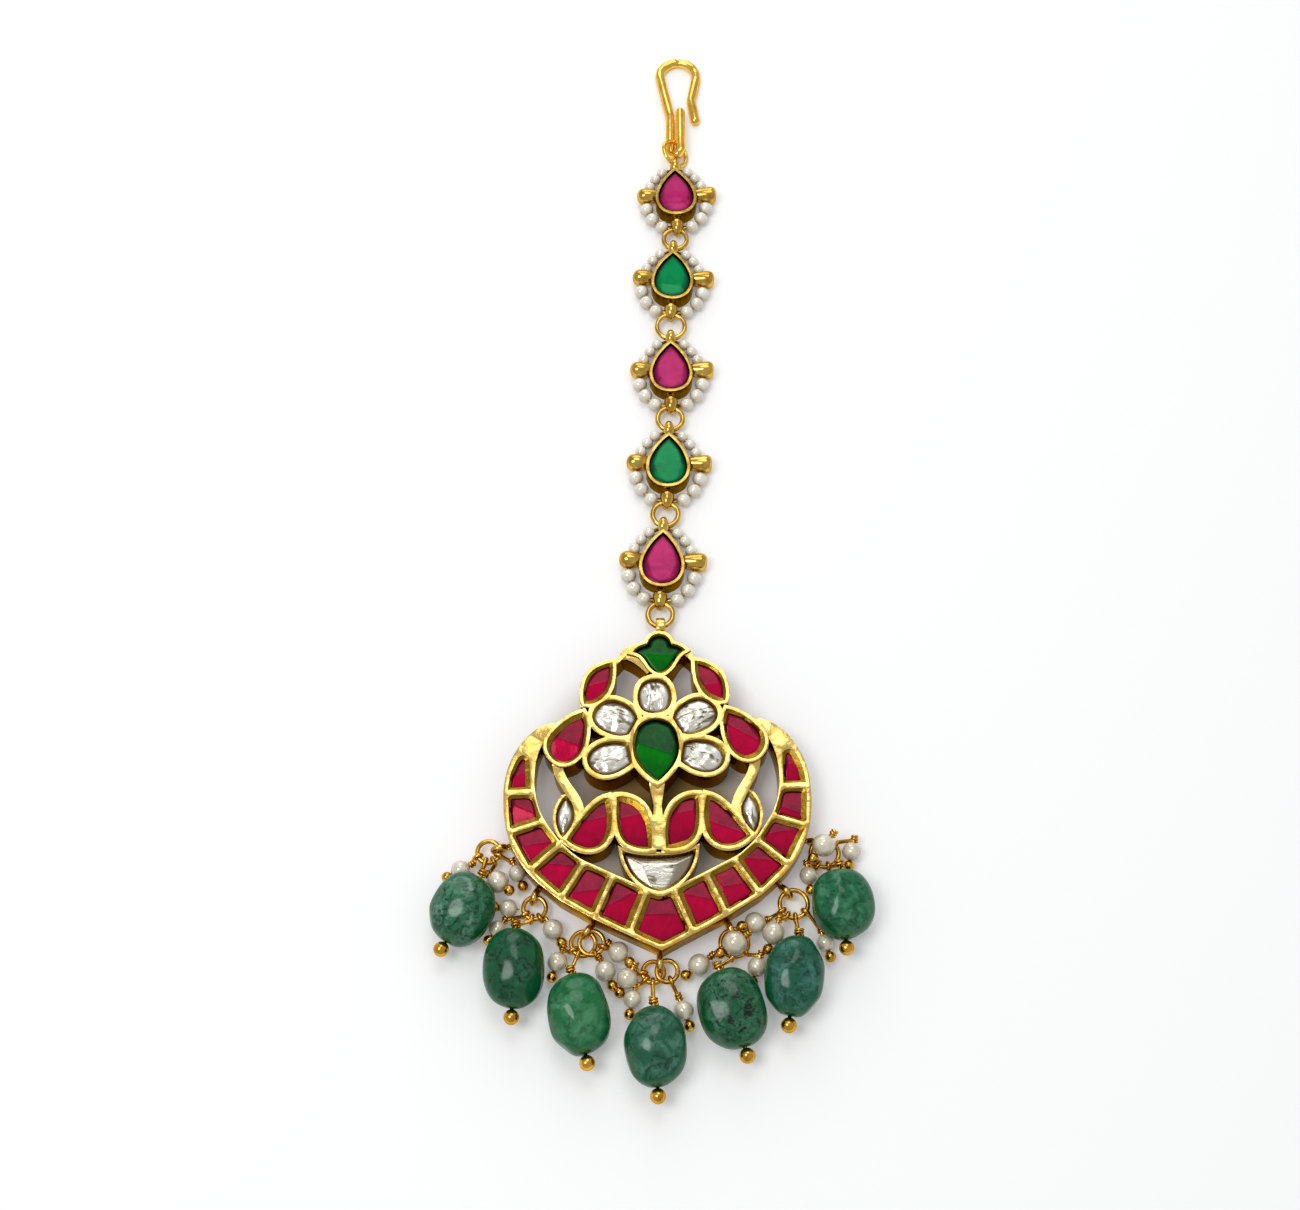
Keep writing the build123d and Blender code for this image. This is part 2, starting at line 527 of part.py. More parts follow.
upper_seats = [link_plane(link).from_local_coords((0, SEAT_LOW, EYE_LEVEL)) for link in LINKS]
lower_seats = [link_plane(link).from_local_coords((0, SEAT_HIGH, EYE_LEVEL))
               for link in LINKS[1:]]
lower_seats.append(BAIL.from_local_coords((0, BAIL_SEAT, EYE_LEVEL)))
for number, (above, below) in enumerate(zip(upper_seats, lower_seats), start=1):
    with BuildPart() as chain_ring:
        with Locations(Location((above + below) / 2)):
            Torus((above - below).length / 2, CHAIN_WIRE)
    finish(chain_ring, f"chain_ring_{number}")


# ---- hook and its ring --------------------------------------------------------------------
# The hook is one bent wire. It lies on the floor at its bend, rises a little towards the
# links, and ends in a long eye whose second leg stands higher than the first.

with BuildPart() as hook:
    with BuildLine() as hook_path:
        FilletPolyline(*HOOK_ROUTE, radius=HOOK_BENDS)
    with BuildSketch(Plane(origin=hook_path.line @ 0, z_dir=hook_path.line % 0)):
        Circle(HOOK_WIRE)
    sweep()
    ball(hook_path.line @ 0, HOOK_WIRE)
    ball(hook_path.line @ 1, HOOK_WIRE)
finish(hook, "hook")

with BuildPart() as hook_ring:
    with Locations(Plane(origin=HOOK_RING_CENTRE, z_dir=HOOK_RING_TILT)):
        Torus(HOOK_RING, HOOK_RING_WIRE)
finish(hook_ring, "hook_ring")


# ---- drops --------------------------------------------------------------------------------

def ring_centres(lug):
    """The middle of each jump ring that hangs in a lug."""
    eye = polar((lug.x, lug.y), LUG_REACH, lug.out, EYE_LEVEL)
    levels = [DROP_RING_LEVEL] if len(lug.rings) == 1 else TWIN_RING_LEVELS
    return [polar((eye.X, eye.Y), lug.ring_radius, bearing, level)
            for bearing, level in zip(lug.rings, levels)]


def pin_line(piece, half_length, head_radius):
    """A pin's way through its bead or pearl, the bend before it and the middle of its head."""
    centre = Vector(*piece.centre)
    along = (Vector(*piece.aim) - centre).normalized()
    return (along, centre - along * (half_length + PIN_BEND),
            centre + along * (half_length + HEAD_PLAY + head_radius))


def head_pin(piece, ring_centre, ring_radius, entry, head, head_radius):
    """Add a pin: an eye round the jump ring, a bend, the straight wire and its round head."""
    eye = polar((ring_centre.X, ring_centre.Y), ring_radius, piece.bearing, ring_centre.Z)
    across = polar((0, 0), 1, piece.bearing + 90, 0)
    away = entry - eye
    outward = (away - across * away.dot(across)).normalized()
    with Locations(Plane(origin=eye, x_dir=across.cross(outward), z_dir=across)):
        Torus(PIN_EYE, PIN_EYE_WIRE)
    foot = eye + outward * PIN_EYE
    rod(foot, entry, PIN_WIRE)
    ball(entry, PIN_WIRE)
    rod(entry, head, PIN_WIRE)
    ball(head, head_radius)


def nugget(bead, along):
    """Add a drilled egg-shaped bead that lies along its pin."""
    with BuildPart() as turned:
        with BuildSketch():
            Ellipse(bead.height / 2, bead.length / 2)
            with Locations((BEAD_DRILL - bead.height, 0)):
                Rectangle(2 * bead.height, 2 * bead.length, mode=Mode.SUBTRACT)
        revolve(axis=Axis.Y)
    across = Vector(along.Y, -along.X, 0)
    with Locations(Plane(origin=bead.centre, x_dir=across, z_dir=across.cross(along))):
        add(scale(turned.part, by=(bead.width / bead.height, 1, 1), mode=Mode.PRIVATE))


for number, (lug, bead, pearls) in enumerate(zip(LUGS, BEADS, PEARLS), start=1):
    centres = ring_centres(lug)
    bead_along, bead_entry, bead_head = pin_line(bead, bead.length / 2, BEAD_HEAD)
    with BuildPart() as drop_findings:
        for centre in centres:
            with Locations(Location(centre)):
                Torus(lug.ring_radius, DROP_WIRE)
        head_pin(bead, centres[bead.ring], lug.ring_radius, bead_entry, bead_head, BEAD_HEAD)
        for pearl in pearls:
            _, entry, head = pin_line(pearl, pearl.radius, PEARL_HEAD)
            head_pin(pearl, centres[pearl.ring], lug.ring_radius, entry, head, PEARL_HEAD)
    finish(drop_findings, f"drop_findings_{number}")

    with BuildPart() as emerald_bead:
        nugget(bead, bead_along)
    finish(emerald_bead, f"emerald_bead_{number}")

    with BuildPart() as drop_pearls:
        for pearl in pearls:
            _, entry, head = pin_line(pearl, pearl.radius, PEARL_HEAD)
            drilled_ball(entry, Vector(*pearl.centre), head, pearl.radius, BEAD_DRILL)
    finish(drop_pearls, f"drop_pearls_{number}")
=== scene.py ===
"""Looks of a forehead jewel, laid flat: its hook, jewelled links, crescent pendant and drops.

Everything is in metres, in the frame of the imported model. Places and sizes are read from the
model's own solids, so each finished piece stands exactly where its solid does.
"""
from __future__ import annotations

import logging
from dataclasses import dataclass, field
from enum import Enum
from math import cos, pi, radians, sin, tan

import bmesh
import bpy
import numpy as np
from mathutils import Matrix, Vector, geometry, kdtree, noise


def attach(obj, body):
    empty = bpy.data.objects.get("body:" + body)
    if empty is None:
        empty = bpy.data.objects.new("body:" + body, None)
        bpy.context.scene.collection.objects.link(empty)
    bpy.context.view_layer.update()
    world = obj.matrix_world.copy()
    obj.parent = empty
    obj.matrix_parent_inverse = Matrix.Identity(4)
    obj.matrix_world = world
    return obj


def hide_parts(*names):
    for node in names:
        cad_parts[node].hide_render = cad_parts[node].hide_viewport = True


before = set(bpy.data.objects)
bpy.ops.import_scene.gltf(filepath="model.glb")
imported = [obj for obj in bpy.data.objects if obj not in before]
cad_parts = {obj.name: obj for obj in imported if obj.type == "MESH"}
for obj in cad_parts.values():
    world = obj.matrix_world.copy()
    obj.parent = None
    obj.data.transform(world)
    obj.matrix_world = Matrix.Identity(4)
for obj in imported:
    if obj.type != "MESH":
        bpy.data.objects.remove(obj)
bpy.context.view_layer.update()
LOG = logging.getLogger("jewel")

MM = 0.001
MERGE = 0.002 * MM
TINY = 1e-9
Colour = tuple[float, float, float]
Triple = tuple[float, float, float]
Face = tuple[int, ...]


# ---- shader helpers -----------------------------------------------------------------------

class NodeSheet:
    """A material's or a group's nodes, with short calls to add and join them."""

    def __init__(self, tree: bpy.types.NodeTree) -> None:
        """Start on an empty node tree."""
        self.tree = tree
        tree.nodes.clear()

    def add(self, kind: str, **settings: object) -> bpy.types.Node:
        """Add a node.

        Args:
            kind: The node's type without its "ShaderNode" or "Node" front.
            settings: Properties of the node, and input values by their socket's name with
                underscores for spaces.

        Returns:
            The new node.
        """
        name = kind if kind.startswith("Node") else "ShaderNode" + kind
        node = self.tree.nodes.new(name)
        for key, value in settings.items():
            socket = node.inputs.get(key.replace("_", " "))
            if hasattr(node, key):
                setattr(node, key, value)
            elif socket is not None:
                self.join(value, socket)
            else:
                raise KeyError(f"{kind} has no {key}")
        return node

    def join(self, source: object, target: bpy.types.NodeSocket) -> None:
        """Feed a socket from another one, or set it to a colour, a vector or a number.

        Args:
            source: A socket or a value. A colour may be given without its alpha.
            target: The socket to feed.
        """
        if isinstance(source, bpy.types.NodeSocket):
            self.tree.links.new(source, target)
        elif target.type == "RGBA" and len(source) == 3:
            target.default_value = (*source, 1.0)
        else:
            target.default_value = source

    def maths(self, way: str, first: object, second: object = 0.0) -> bpy.types.NodeSocket:
        """Add a Math node.

        Args:
            way: The operation.
            first: A socket or a number.
            second: A socket or a number.

        Returns:
            The result's socket.
        """
        node = self.add("Math", operation=way)
        for index, value in enumerate((first, second)):
            self.join(value, node.inputs[index])
        return node.outputs[0]

    def blend(self, share: object, first: object, second: object) -> bpy.types.NodeSocket:
        """Mix two colours.

        Args:
            share: A socket or a number from 0, the first colour, to 1, the second.
            first: A socket or a colour.
            second: A socket or a colour.

        Returns:
            The mixed colour's socket.
        """
        node = self.add("Mix", data_type="RGBA", clamp_factor=True)
        for index, value in ((0, share), (6, first), (7, second)):
            self.join(value, node.inputs[index])
        return node.outputs[2]

    def ramp(self, source: bpy.types.NodeSocket,
             stops: tuple[tuple[float, Colour], ...]) -> bpy.types.NodeSocket:
        """Map a value to colours.

        Args:
            source: The value.
            stops: Places from 0 to 1, each with a display colour.

        Returns:
            The colour's socket.
        """
        node = self.add("ValToRGB")
        band = node.color_ramp.elements
        while len(band) < len(stops):
            band.new(0.5)
        for element, (place, colour) in zip(band, stops):
            element.position = place
            element.color = (*linear(colour), 1.0)
        self.join(source, node.inputs[0])
        return node.outputs[0]

    def spread(self, source: bpy.types.NodeSocket, low: object, high: object,
               to_low: float = 0.0, to_high: float = 1.0) -> bpy.types.NodeSocket:
        """Map a range of a value to another range, and clamp it there.

        Args:
            source: The value.
            low: A socket or a number, which goes to to_low.
            high: A socket or a number, which goes to to_high.
            to_low: The new range's first end.
            to_high: Its second end.

        Returns:
            The new value's socket.
        """
        node = self.add("MapRange", clamp=True)
        for index, value in enumerate((source, low, high, to_low, to_high)):
            self.join(value, node.inputs[index])
        return node.outputs[0]

    def texture(self, kind: str, spot: bpy.types.NodeSocket, scale: object,
                **settings: object) -> bpy.types.Node:
        """Add a texture.

        Args:
            kind: The node's type, as for add.
            spot: The place to read it at.
            scale: A socket or a number.
            settings: More settings, as for add.

        Returns:
            The new node.
        """
        node = self.add(kind, **settings)
        self.join(spot, node.inputs["Vector"])
        self.join(scale, node.inputs["Scale"])
        return node

    def mark(self, name: str) -> bpy.types.Node:
        """Read a mark that a mesh has at its points."""
        return self.add("Attribute", attribute_name=name)

    def in_mm(self) -> bpy.types.NodeSocket:
        """Coordinates on the object, counted in millimetres.

        Returns:
            Their socket.
        """
        scaled = self.add("Mapping", vector_type="POINT", Scale=(1 / MM,) * 3)
        self.join(self.add("TexCoord").outputs["Object"], scaled.inputs["Vector"])
        return scaled.outputs["Vector"]

    def bump(self, height: bpy.types.NodeSocket, depth: float,
             strength: float = 1.0) -> bpy.types.NodeSocket:
        """A normal from a height, with its depth in millimetres.

        Args:
            height: The height.
            depth: Its depth, in millimetres.
            strength: How strongly it shows, up to 1.

        Returns:
            The normal's socket.
        """
        node = self.add("Bump", Strength=strength, Distance=depth * MM)
        self.join(height, node.inputs["Height"])
        return node.outputs["Normal"]


def linear(colour: Colour) -> Colour:
    """A display colour as the linear one that shaders use."""
    return tuple(c / 12.92 if c <= 0.04045 else ((c + 0.055) / 1.055) ** 2.4 for c in colour)


class Effect(Enum):
    """Shader node groups that more than one finish or stone shares."""

    HAND_WORK = "hand_worked_metal"
    CLOUDS = "clouds_in_stone"
    FACING = "facing_of_surface"

    def use(self, sheet: NodeSheet, **values: float) -> bpy.types.Node:
        """Place the group in a material, with its own values by input name.

        Args:
            sheet: The material's sheet.
            values: Input values, with underscores for spaces.

        Returns:
            The group's node.
        """
        if self.value not in bpy.data.node_groups:
            GROUP_MAKERS[self](self.value)
        node = sheet.add("Group", node_tree=bpy.data.node_groups[self.value])
        for key, value in values.items():
            node.inputs[key.replace("_", " ")].default_value = value
        return node


def new_group(name: str, inputs: dict[str, float],
              *outputs: str) -> tuple[NodeSheet, bpy.types.Node, bpy.types.Node]:
    """Start a shader node group.

    Args:
        name: The group's name.
        inputs: Input names with their default numbers.
        outputs: Names of its outputs, all of them values.

    Returns:
        The group's sheet, its input node and its output node.
    """
    tree = bpy.data.node_groups.new(name, "ShaderNodeTree")
    for key, value in inputs.items():
        socket = tree.interface.new_socket(key, in_out="INPUT", socket_type="NodeSocketFloat")
        socket.default_value = value
    for key in outputs:
        tree.interface.new_socket(key, in_out="OUTPUT", socket_type="NodeSocketFloat")
    sheet = NodeSheet(tree)
    return sheet, sheet.add("NodeGroupInput"), sheet.add("NodeGroupOutput")


def make_hand_work(name: str) -> None:
    """Soft dents, fine brushing and hollows of metal that was worked by hand.

    Args:
        name: The group's name.
    """
    sheet, given, result = new_group(name, {"Dent size": 0.7, "Dents": 1.0, "Grain": 0.3},
                                     "Height", "Tarnish")
    spot = sheet.in_mm()
    dents = sheet.texture("TexNoise", spot, sheet.maths("DIVIDE", 1.0, given.outputs["Dent size"]),
                          Detail=2.0, Roughness=0.45)
    grain = sheet.texture("TexNoise", spot, 9.0, Detail=3.0, Roughness=0.6)
    tarnish = sheet.texture("TexNoise", spot, 0.55, Detail=4.0, Roughness=0.65)
    dented = sheet.maths("MULTIPLY", dents.outputs["Fac"], given.outputs["Dents"])
    brushed = sheet.maths("MULTIPLY", grain.outputs["Fac"], given.outputs["Grain"])
    sheet.join(sheet.maths("ADD", dented, brushed), result.inputs["Height"])
    sheet.join(sheet.spread(tarnish.outputs["Fac"], 0.35, 0.7), result.inputs["Tarnish"])


def make_clouds(name: str) -> None:
    """Milky clouds and fine veins inside a stone.

    Args:
        name: The group's name.
    """
    sheet, given, result = new_group(name, {"Size": 2.0, "Veins": 1.0}, "Milk", "Dark", "Vein")
    spot = sheet.in_mm()
    scale = sheet.maths("DIVIDE", 1.0, given.outputs["Size"])
    milk = sheet.texture("TexNoise", spot, scale, Detail=5.0, Roughness=0.62, Distortion=0.7)
    sheet.join(sheet.spread(milk.outputs["Fac"], 0.46, 0.68), result.inputs["Milk"])
    dark = sheet.texture("TexNoise", spot, sheet.maths("MULTIPLY", scale, 1.7), Detail=6.0,
                         Roughness=0.7, Distortion=1.4)
    sheet.join(sheet.spread(dark.outputs["Fac"], 0.50, 0.60), result.inputs["Dark"])
    warped = sheet.add("VectorMath", operation="ADD")
    sheet.join(spot, warped.inputs[0])
    sheet.join(dark.outputs["Color"], warped.inputs[1])
    vein = sheet.texture("TexVoronoi", warped.outputs[0], sheet.maths("MULTIPLY", scale, 0.9),
                         feature="DISTANCE_TO_EDGE", Randomness=1.0)
    thin = sheet.maths("MULTIPLY", sheet.spread(vein.outputs["Distance"], 0.0, 0.05, 1.0, 0.0),
                       sheet.spread(milk.outputs["Fac"], 0.45, 0.6))
    sheet.join(sheet.maths("MULTIPLY", thin, given.outputs["Veins"]), result.inputs["Vein"])


def make_facing(name: str) -> None:
    """How far a surface faces up, and how flat it lies with either side up.

    Args:
        name: The group's name.
    """
    sheet, given, result = new_group(name, {"Low": 0.0, "High": 1.0}, "Up", "Flat")
    parts = sheet.add("SeparateXYZ")
    sheet.join(sheet.add("NewGeometry").outputs["Normal"], parts.inputs[0])
    rise = parts.outputs["Z"]
    for value, output in ((rise, "Up"), (sheet.maths("ABSOLUTE", rise), "Flat")):
        sheet.join(sheet.spread(value, given.outputs["Low"], given.outputs["High"]),
                   result.inputs[output])


GROUP_MAKERS = {Effect.HAND_WORK: make_hand_work, Effect.CLOUDS: make_clouds,
                Effect.FACING: make_facing}


# ---- finishes -----------------------------------------------------------------------------

def new_material(name: str,
                 **constants: object) -> tuple[bpy.types.Material, NodeSheet, bpy.types.Node]:
    """Start a material with a Principled shader.

    Args:
        name: The material's name.
        constants: Values of the shader that are the same all over, by input name.

    Returns:
        The material, its sheet and its Principled node.
    """
    material = bpy.data.materials.new(name)
    material.use_nodes = True
    sheet = NodeSheet(material.node_tree)
    shader = sheet.add("BsdfPrincipled", **constants)
    sheet.join(shader.outputs[0], sheet.add("OutputMaterial").inputs[0])
    return material, sheet, shader


@dataclass(frozen=True)
class Gold:
    """Yellow gold, from bright wire to settings, whose sides may take a painted shade."""

    name: str
    bright: Colour
    deep: Colour
    # wall: the colour of painted shade on surfaces that face sideways.
    wall: Colour | None = None
    roughness: tuple[float, float] = (0.18, 0.36)
    dent_size: float = 0.7
    dents: float = 1.0
    grain: float = 0.3
    depth: float = 0.03
    # How flat a surface lies, from where it is all painted shade to where it has none.
    painted_shade_turn: tuple[float, float] = (0.45, 0.97)
    tint: Colour = (0.9, 0.66, 0.3)

    def material(self) -> bpy.types.Material:
        """Build the finish's material.

        Returns:
            The material.
        """
        material, sheet, shader = new_material(self.name, Metallic=1.0,
                                               Specular_Tint=self.tint)
        work = Effect.HAND_WORK.use(sheet, Dent_size=self.dent_size, Dents=self.dents,
                                    Grain=self.grain)
        tarnish = work.outputs["Tarnish"]
        colour = sheet.blend(tarnish, linear(self.bright), linear(self.deep))
        # Painted shade: surfaces that face sideways take the wall colour; flat tops and the
        # fittings keep the metal's own colours.
        if self.wall:
            low, high = self.painted_shade_turn
            flat = Effect.FACING.use(sheet, Low=low, High=high).outputs["Flat"]
            top = sheet.maths("ADD", flat, sheet.mark("fitting").outputs["Fac"])
            colour = sheet.blend(top, linear(self.wall), colour)
        sheet.join(colour, shader.inputs["Base Color"])
        sheet.join(sheet.spread(tarnish, 0.0, 1.0, *self.roughness), shader.inputs["Roughness"])
        sheet.join(sheet.bump(work.outputs["Height"], self.depth), shader.inputs["Normal"])
        return material


@dataclass(frozen=True)
class FoiledStone:
    """A clear coloured stone over crinkled foil, with painted light and shade."""

    name: str
    # glow: painted light on lit facets; body: painted shade on shaded facets; edge: painted shade
    # near the stone's edge.
    glow: Colour
    body: Colour
    edge: Colour
    crinkle: float = 0.04

    def material(self) -> bpy.types.Material:
        """Build the finish's material.

        Returns:
            The material.
        """
        material, sheet, shader = new_material(
            self.name, Roughness=0.3, Metallic=0.25, Coat_Weight=0.22, Coat_Roughness=0.04,
            Coat_IOR=1.5, Specular_IOR_Level=0.0)
        wrinkle = sheet.texture("TexNoise", sheet.in_mm(), 0.8, Detail=4.0, Roughness=0.55,
                                Distortion=0.4)
        cloud = sheet.spread(wrinkle.outputs["Fac"], 0.35, 0.65, -0.16, 0.16)
        # Painted light and shade: the tone mark blends shaded facets to lit ones, with random
        # mottling.
        lit = sheet.blend(sheet.maths("ADD", sheet.mark("tone").outputs["Fac"], cloud),
                          linear(self.body), linear(self.glow))
        # Painted shade: near its edge the stone darkens to the edge colour.
        inner = sheet.spread(sheet.mark("depth").outputs["Fac"], 0.05, 0.7)
        sheet.join(sheet.blend(inner, linear(self.edge), lit), shader.inputs["Base Color"])
        sheet.join(sheet.bump(wrinkle.outputs["Fac"], self.crinkle), shader.inputs["Normal"])
        return material


@dataclass(frozen=True)
class Polki:
    """Flat uncut diamond over silver foil, with painted reflections and painted shade."""

    name: str
    # pale, dark and glint: painted reflections in streaks; shade: painted shade on side facets;
    # rim: painted shade near the edge.
    pale: Colour
    shade: Colour
    dark: Colour = (0.30, 0.27, 0.22)
    rim: Colour = (0.68, 0.60, 0.47)
    glint: Colour = (1.0, 1.0, 1.0)
    stretch: Triple = (1.5, 0.5, 1.0)
    crinkle: float = 0.12

    def material(self) -> bpy.types.Material:
        """Build the finish's material.

        Returns:
            The material.
        """
        material, sheet, shader = new_material(
            self.name, Roughness=0.2, Metallic=0.55, Coat_Weight=1.0, Coat_Roughness=0.02,
            Coat_IOR=1.8, Specular_IOR_Level=0.0)
        spot = sheet.add("Mapping", vector_type="POINT", Scale=self.stretch)
        sheet.join(sheet.mark("grain").outputs["Vector"], spot.inputs["Vector"])
        reflection_and_crinkle = sheet.texture("TexNoise", spot.outputs["Vector"], 0.9, Detail=3.0,
                               Roughness=0.5, Distortion=1.1)
        # Painted reflections: dark, pale and white glint streaks.
        colour = sheet.ramp(reflection_and_crinkle.outputs["Fac"], (
            (0.34, self.dark), (0.40, self.shade), (0.48, self.pale), (0.60, self.pale),
            (0.66, self.glint)))
        # Painted shade: facets with a low tone take the shade colour.
        colour = sheet.blend(sheet.mark("tone").outputs["Fac"], linear(self.shade), colour)
        # Painted shade near the edge, in the rim colour.
        inner = sheet.spread(sheet.mark("depth").outputs["Fac"], 0.1, 0.6)
        sheet.join(sheet.blend(inner, linear(self.rim), colour), shader.inputs["Base Color"])
        sheet.join(sheet.bump(reflection_and_crinkle.outputs["Fac"], self.crinkle), shader.inputs["Normal"])
        return material


@dataclass(frozen=True)
class Nacre:
    """Cream pearl with a soft deep shine, and painted shade on its sides."""

    name: str
    cream: Colour
    grey: Colour
    # rim: the colour of painted shade on the pearl's sides.
    rim: Colour = (0.66, 0.60, 0.49)
    ripple: float = 0.012

    def material(self) -> bpy.types.Material:
        """Build the finish's material.

        Returns:
            The material.
        """
        material, sheet, shader = new_material(
            self.name, Roughness=0.22, Coat_Weight=1.0, Coat_Roughness=0.07, Coat_IOR=2.3,
            Subsurface_Weight=0.25, Subsurface_Scale=0.4 * MM, Sheen_Weight=0.15,
            Sheen_Roughness=0.4, Subsurface_Radius=(1.0, 0.8, 0.6))
        spot = sheet.in_mm()
        cloud = sheet.texture("TexNoise", spot, 0.7, Detail=3.0)
        ripple = sheet.texture("TexNoise", spot, 3.5, Detail=3.0)
        colour = sheet.blend(sheet.spread(cloud.outputs["Fac"], 0.35, 0.65),
                             linear(self.cream), linear(self.grey))
        # Painted shade: the sides, which face less up, blend to the rim colour.
        facing = Effect.FACING.use(sheet, Low=0.1, High=0.8)
        sheet.join(sheet.blend(facing.outputs["Up"], linear(self.rim), colour),
                   shader.inputs["Base Color"])
        sheet.join(sheet.bump(ripple.outputs["Fac"], self.ripple), shader.inputs["Normal"])
        return material


@dataclass(frozen=True)
class Nugget:
    """Polished green stone with milky clouds, dark patches and fine veins.
    Its sides are painted a deeper green: painted light coming through the stone.
    """

    name: str
    green: Colour
    milky: Colour
    dark: Colour
    cloud_size: float = 2.2
    milk: float = 0.6
    darkness: float = 0.7
    veins: float = 0.4
    # rim: a deeper saturated green, painted on the sides for light coming through the stone.
    rim: Colour = (0.03, 0.34, 0.17)
    pitting: float = 0.035

    def material(self) -> bpy.types.Material:
        """Build the finish's material.

        Returns:
            The material.
        """
        material, sheet, shader = new_material(
            self.name, Roughness=0.35, Coat_Weight=0.8, Coat_Roughness=0.14, Coat_IOR=1.5,
            Subsurface_Weight=0.3, Subsurface_Scale=1.2 * MM, Specular_IOR_Level=0.0,
            Subsurface_Radius=(0.2, 1.0, 0.5))
        clouds = Effect.CLOUDS.use(sheet, Size=self.cloud_size, Veins=self.veins)
        milk = sheet.maths("MULTIPLY", clouds.outputs["Milk"], self.milk)
        dark = sheet.maths("MULTIPLY", clouds.outputs["Dark"], self.darkness)
        colour = sheet.blend(milk, linear(self.green), linear(self.milky))
        colour = sheet.blend(dark, colour, linear(self.dark))
        colour = sheet.blend(clouds.outputs["Vein"], colour, linear(self.milky))
        # Painted light: the sides, which face less up, blend to the rim colour, for light coming
        # through the stone.
        facing = Effect.FACING.use(sheet, Low=0.35, High=0.85)
        sheet.join(sheet.blend(facing.outputs["Up"], linear(self.rim), colour),
                   shader.inputs["Base Color"])
        sheet.join(sheet.bump(clouds.outputs["Dark"], self.pitting, 0.6),
                   shader.inputs["Normal"])
        return material


# ---- reading the solids -------------------------------------------------------------------

def sides_of(faces: list[Face]) -> list[tuple[int, int]]:
    """The sides of faces, as pairs of points in each face's own order."""
    return [side for face in faces for side in zip(face, face[1:] + face[:1])]


def border(faces: list[Face]) -> list[int]:
    """The loop of points round a patch of faces, from the one with the lowest number.

    Args:
        faces: The patch's faces.

    Returns:
        The loop's points, by number.
    """
    sides = set(sides_of(faces))
    after = {a: b for a, b in sides if (b, a) not in sides}
    loop = [min(after)]
    while after[loop[-1]] != loop[0]:
        loop.append(after[loop[-1]])
    return loop


@dataclass
class Solid:
    """One closed solid of a CAD node."""

    points: np.ndarray
    faces: list[Face]

    @property
    def low(self) -> np.ndarray:
        """The lowest corner of its box."""
        return self.points.min(0)

    @property
    def high(self) -> np.ndarray:
        """The highest corner of its box."""
        return self.points.max(0)

    @property
    def middle(self) -> np.ndarray:
        """The middle of its box."""
        return (self.low + self.high) / 2

    def drill(self) -> np.ndarray:
        """The way of the hole through a drilled bead, from its longest straight edges.

        Returns:
            A way of length 1.
        """
        nearly_longest = 0.9
        ends = np.array(sides_of(self.faces))
        runs = self.points[ends[:, 1]] - self.points[ends[:, 0]]
        lengths = np.linalg.norm(runs, axis=1)
        longest = runs[lengths > nearly_longest * lengths.max()]
        longest = longest * np.sign(longest @ longest[0])[:, None]
        way = longest.mean(0)
        return way / np.linalg.norm(way)

    def top_outline(self) -> np.ndarray:
        """The outline of its flat top.

        Returns:
            A loop of places in plan.
        """
        top_band = 0.02 * MM
        level = self.high[2] - top_band
        tops = [face for face in self.faces if all(self.points[i][2] > level for i in face)]
        return self.points[border(tops)][:, :2]


def copy_of(node: str, merge: float) -> bmesh.types.BMesh:
    """Copy a CAD node's mesh, with points closer than a distance made one.

    Args:
        node: The node.
        merge: The distance, in metres.

    Returns:
        The copy, which the caller frees.
    """
    mesh = bmesh.new()
    mesh.from_mesh(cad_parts[node].data)
    bmesh.ops.remove_doubles(mesh, verts=mesh.verts, dist=merge)
    return mesh


def solids_of(node: str) -> list[Solid]:
    """Split a CAD node into its closed solids.

    Args:
        node: The node's name.

    Returns:
        Its solids, in a steady order: by the middle of each, from top left.
    """
    mesh = copy_of(node, MERGE)
    mesh.verts.index_update()
    found = []
    left = set(mesh.verts)
    while left:
        front = [left.pop()]
        group = set(front)
        while front:
            for link in front.pop().link_edges:
                fresh = [vertex for vertex in link.verts if vertex in left]
                left.difference_update(fresh)
                group.update(fresh)
                front.extend(fresh)
        order = sorted(group, key=lambda v: v.index)
        index = {vertex: i for i, vertex in enumerate(order)}
        faces = [tuple(index[v] for v in face.verts) for face in mesh.faces
                 if face.verts[0] in index]
        found.append(Solid(np.array([v.co[:] for v in order]), faces))
    mesh.free()
    return sorted(found, key=lambda s: (round(-s.middle[1], 5), round(s.middle[0], 5)))


def smooth_loop(corners: np.ndarray, step: float, sharp: float = 32.0) -> np.ndarray:
    """Round a loop of short flats into curves, and keep its real corners.

    Args:
        corners: The loop, in plan.
        step: The spacing of the new points.
        sharp: Turns over this many degrees stay corners.

    Returns:
        The new loop.
    """
    count = len(corners)
    before = corners - np.roll(corners, 1, 0)
    after = np.roll(corners, -1, 0) - corners
    turn = np.degrees(np.abs(np.arctan2(before[:, 0] * after[:, 1] - before[:, 1] * after[:, 0],
                                        (before * after).sum(1))))
    rough = [i for i in range(count) if turn[i] > sharp]
    loop = []
    for i in range(count):
        here, there = corners[i], corners[(i + 1) % count]
        back = here if i in rough else corners[i - 1]
        ahead = there if (i + 1) % count in rough else corners[(i + 2) % count]
        parts = max(1, round(float(np.linalg.norm(there - here)) / step))
        for k in range(parts):
            t = k / parts
            loop.append(0.5 * (2 * here + (there - back) * t
                               + (2 * back - 5 * here + 4 * there - ahead) * t * t
                               + (3 * here - back - 3 * there + ahead) * t * t * t))
    return np.array(loop)


# ---- meshes -------------------------------------------------------------------------------

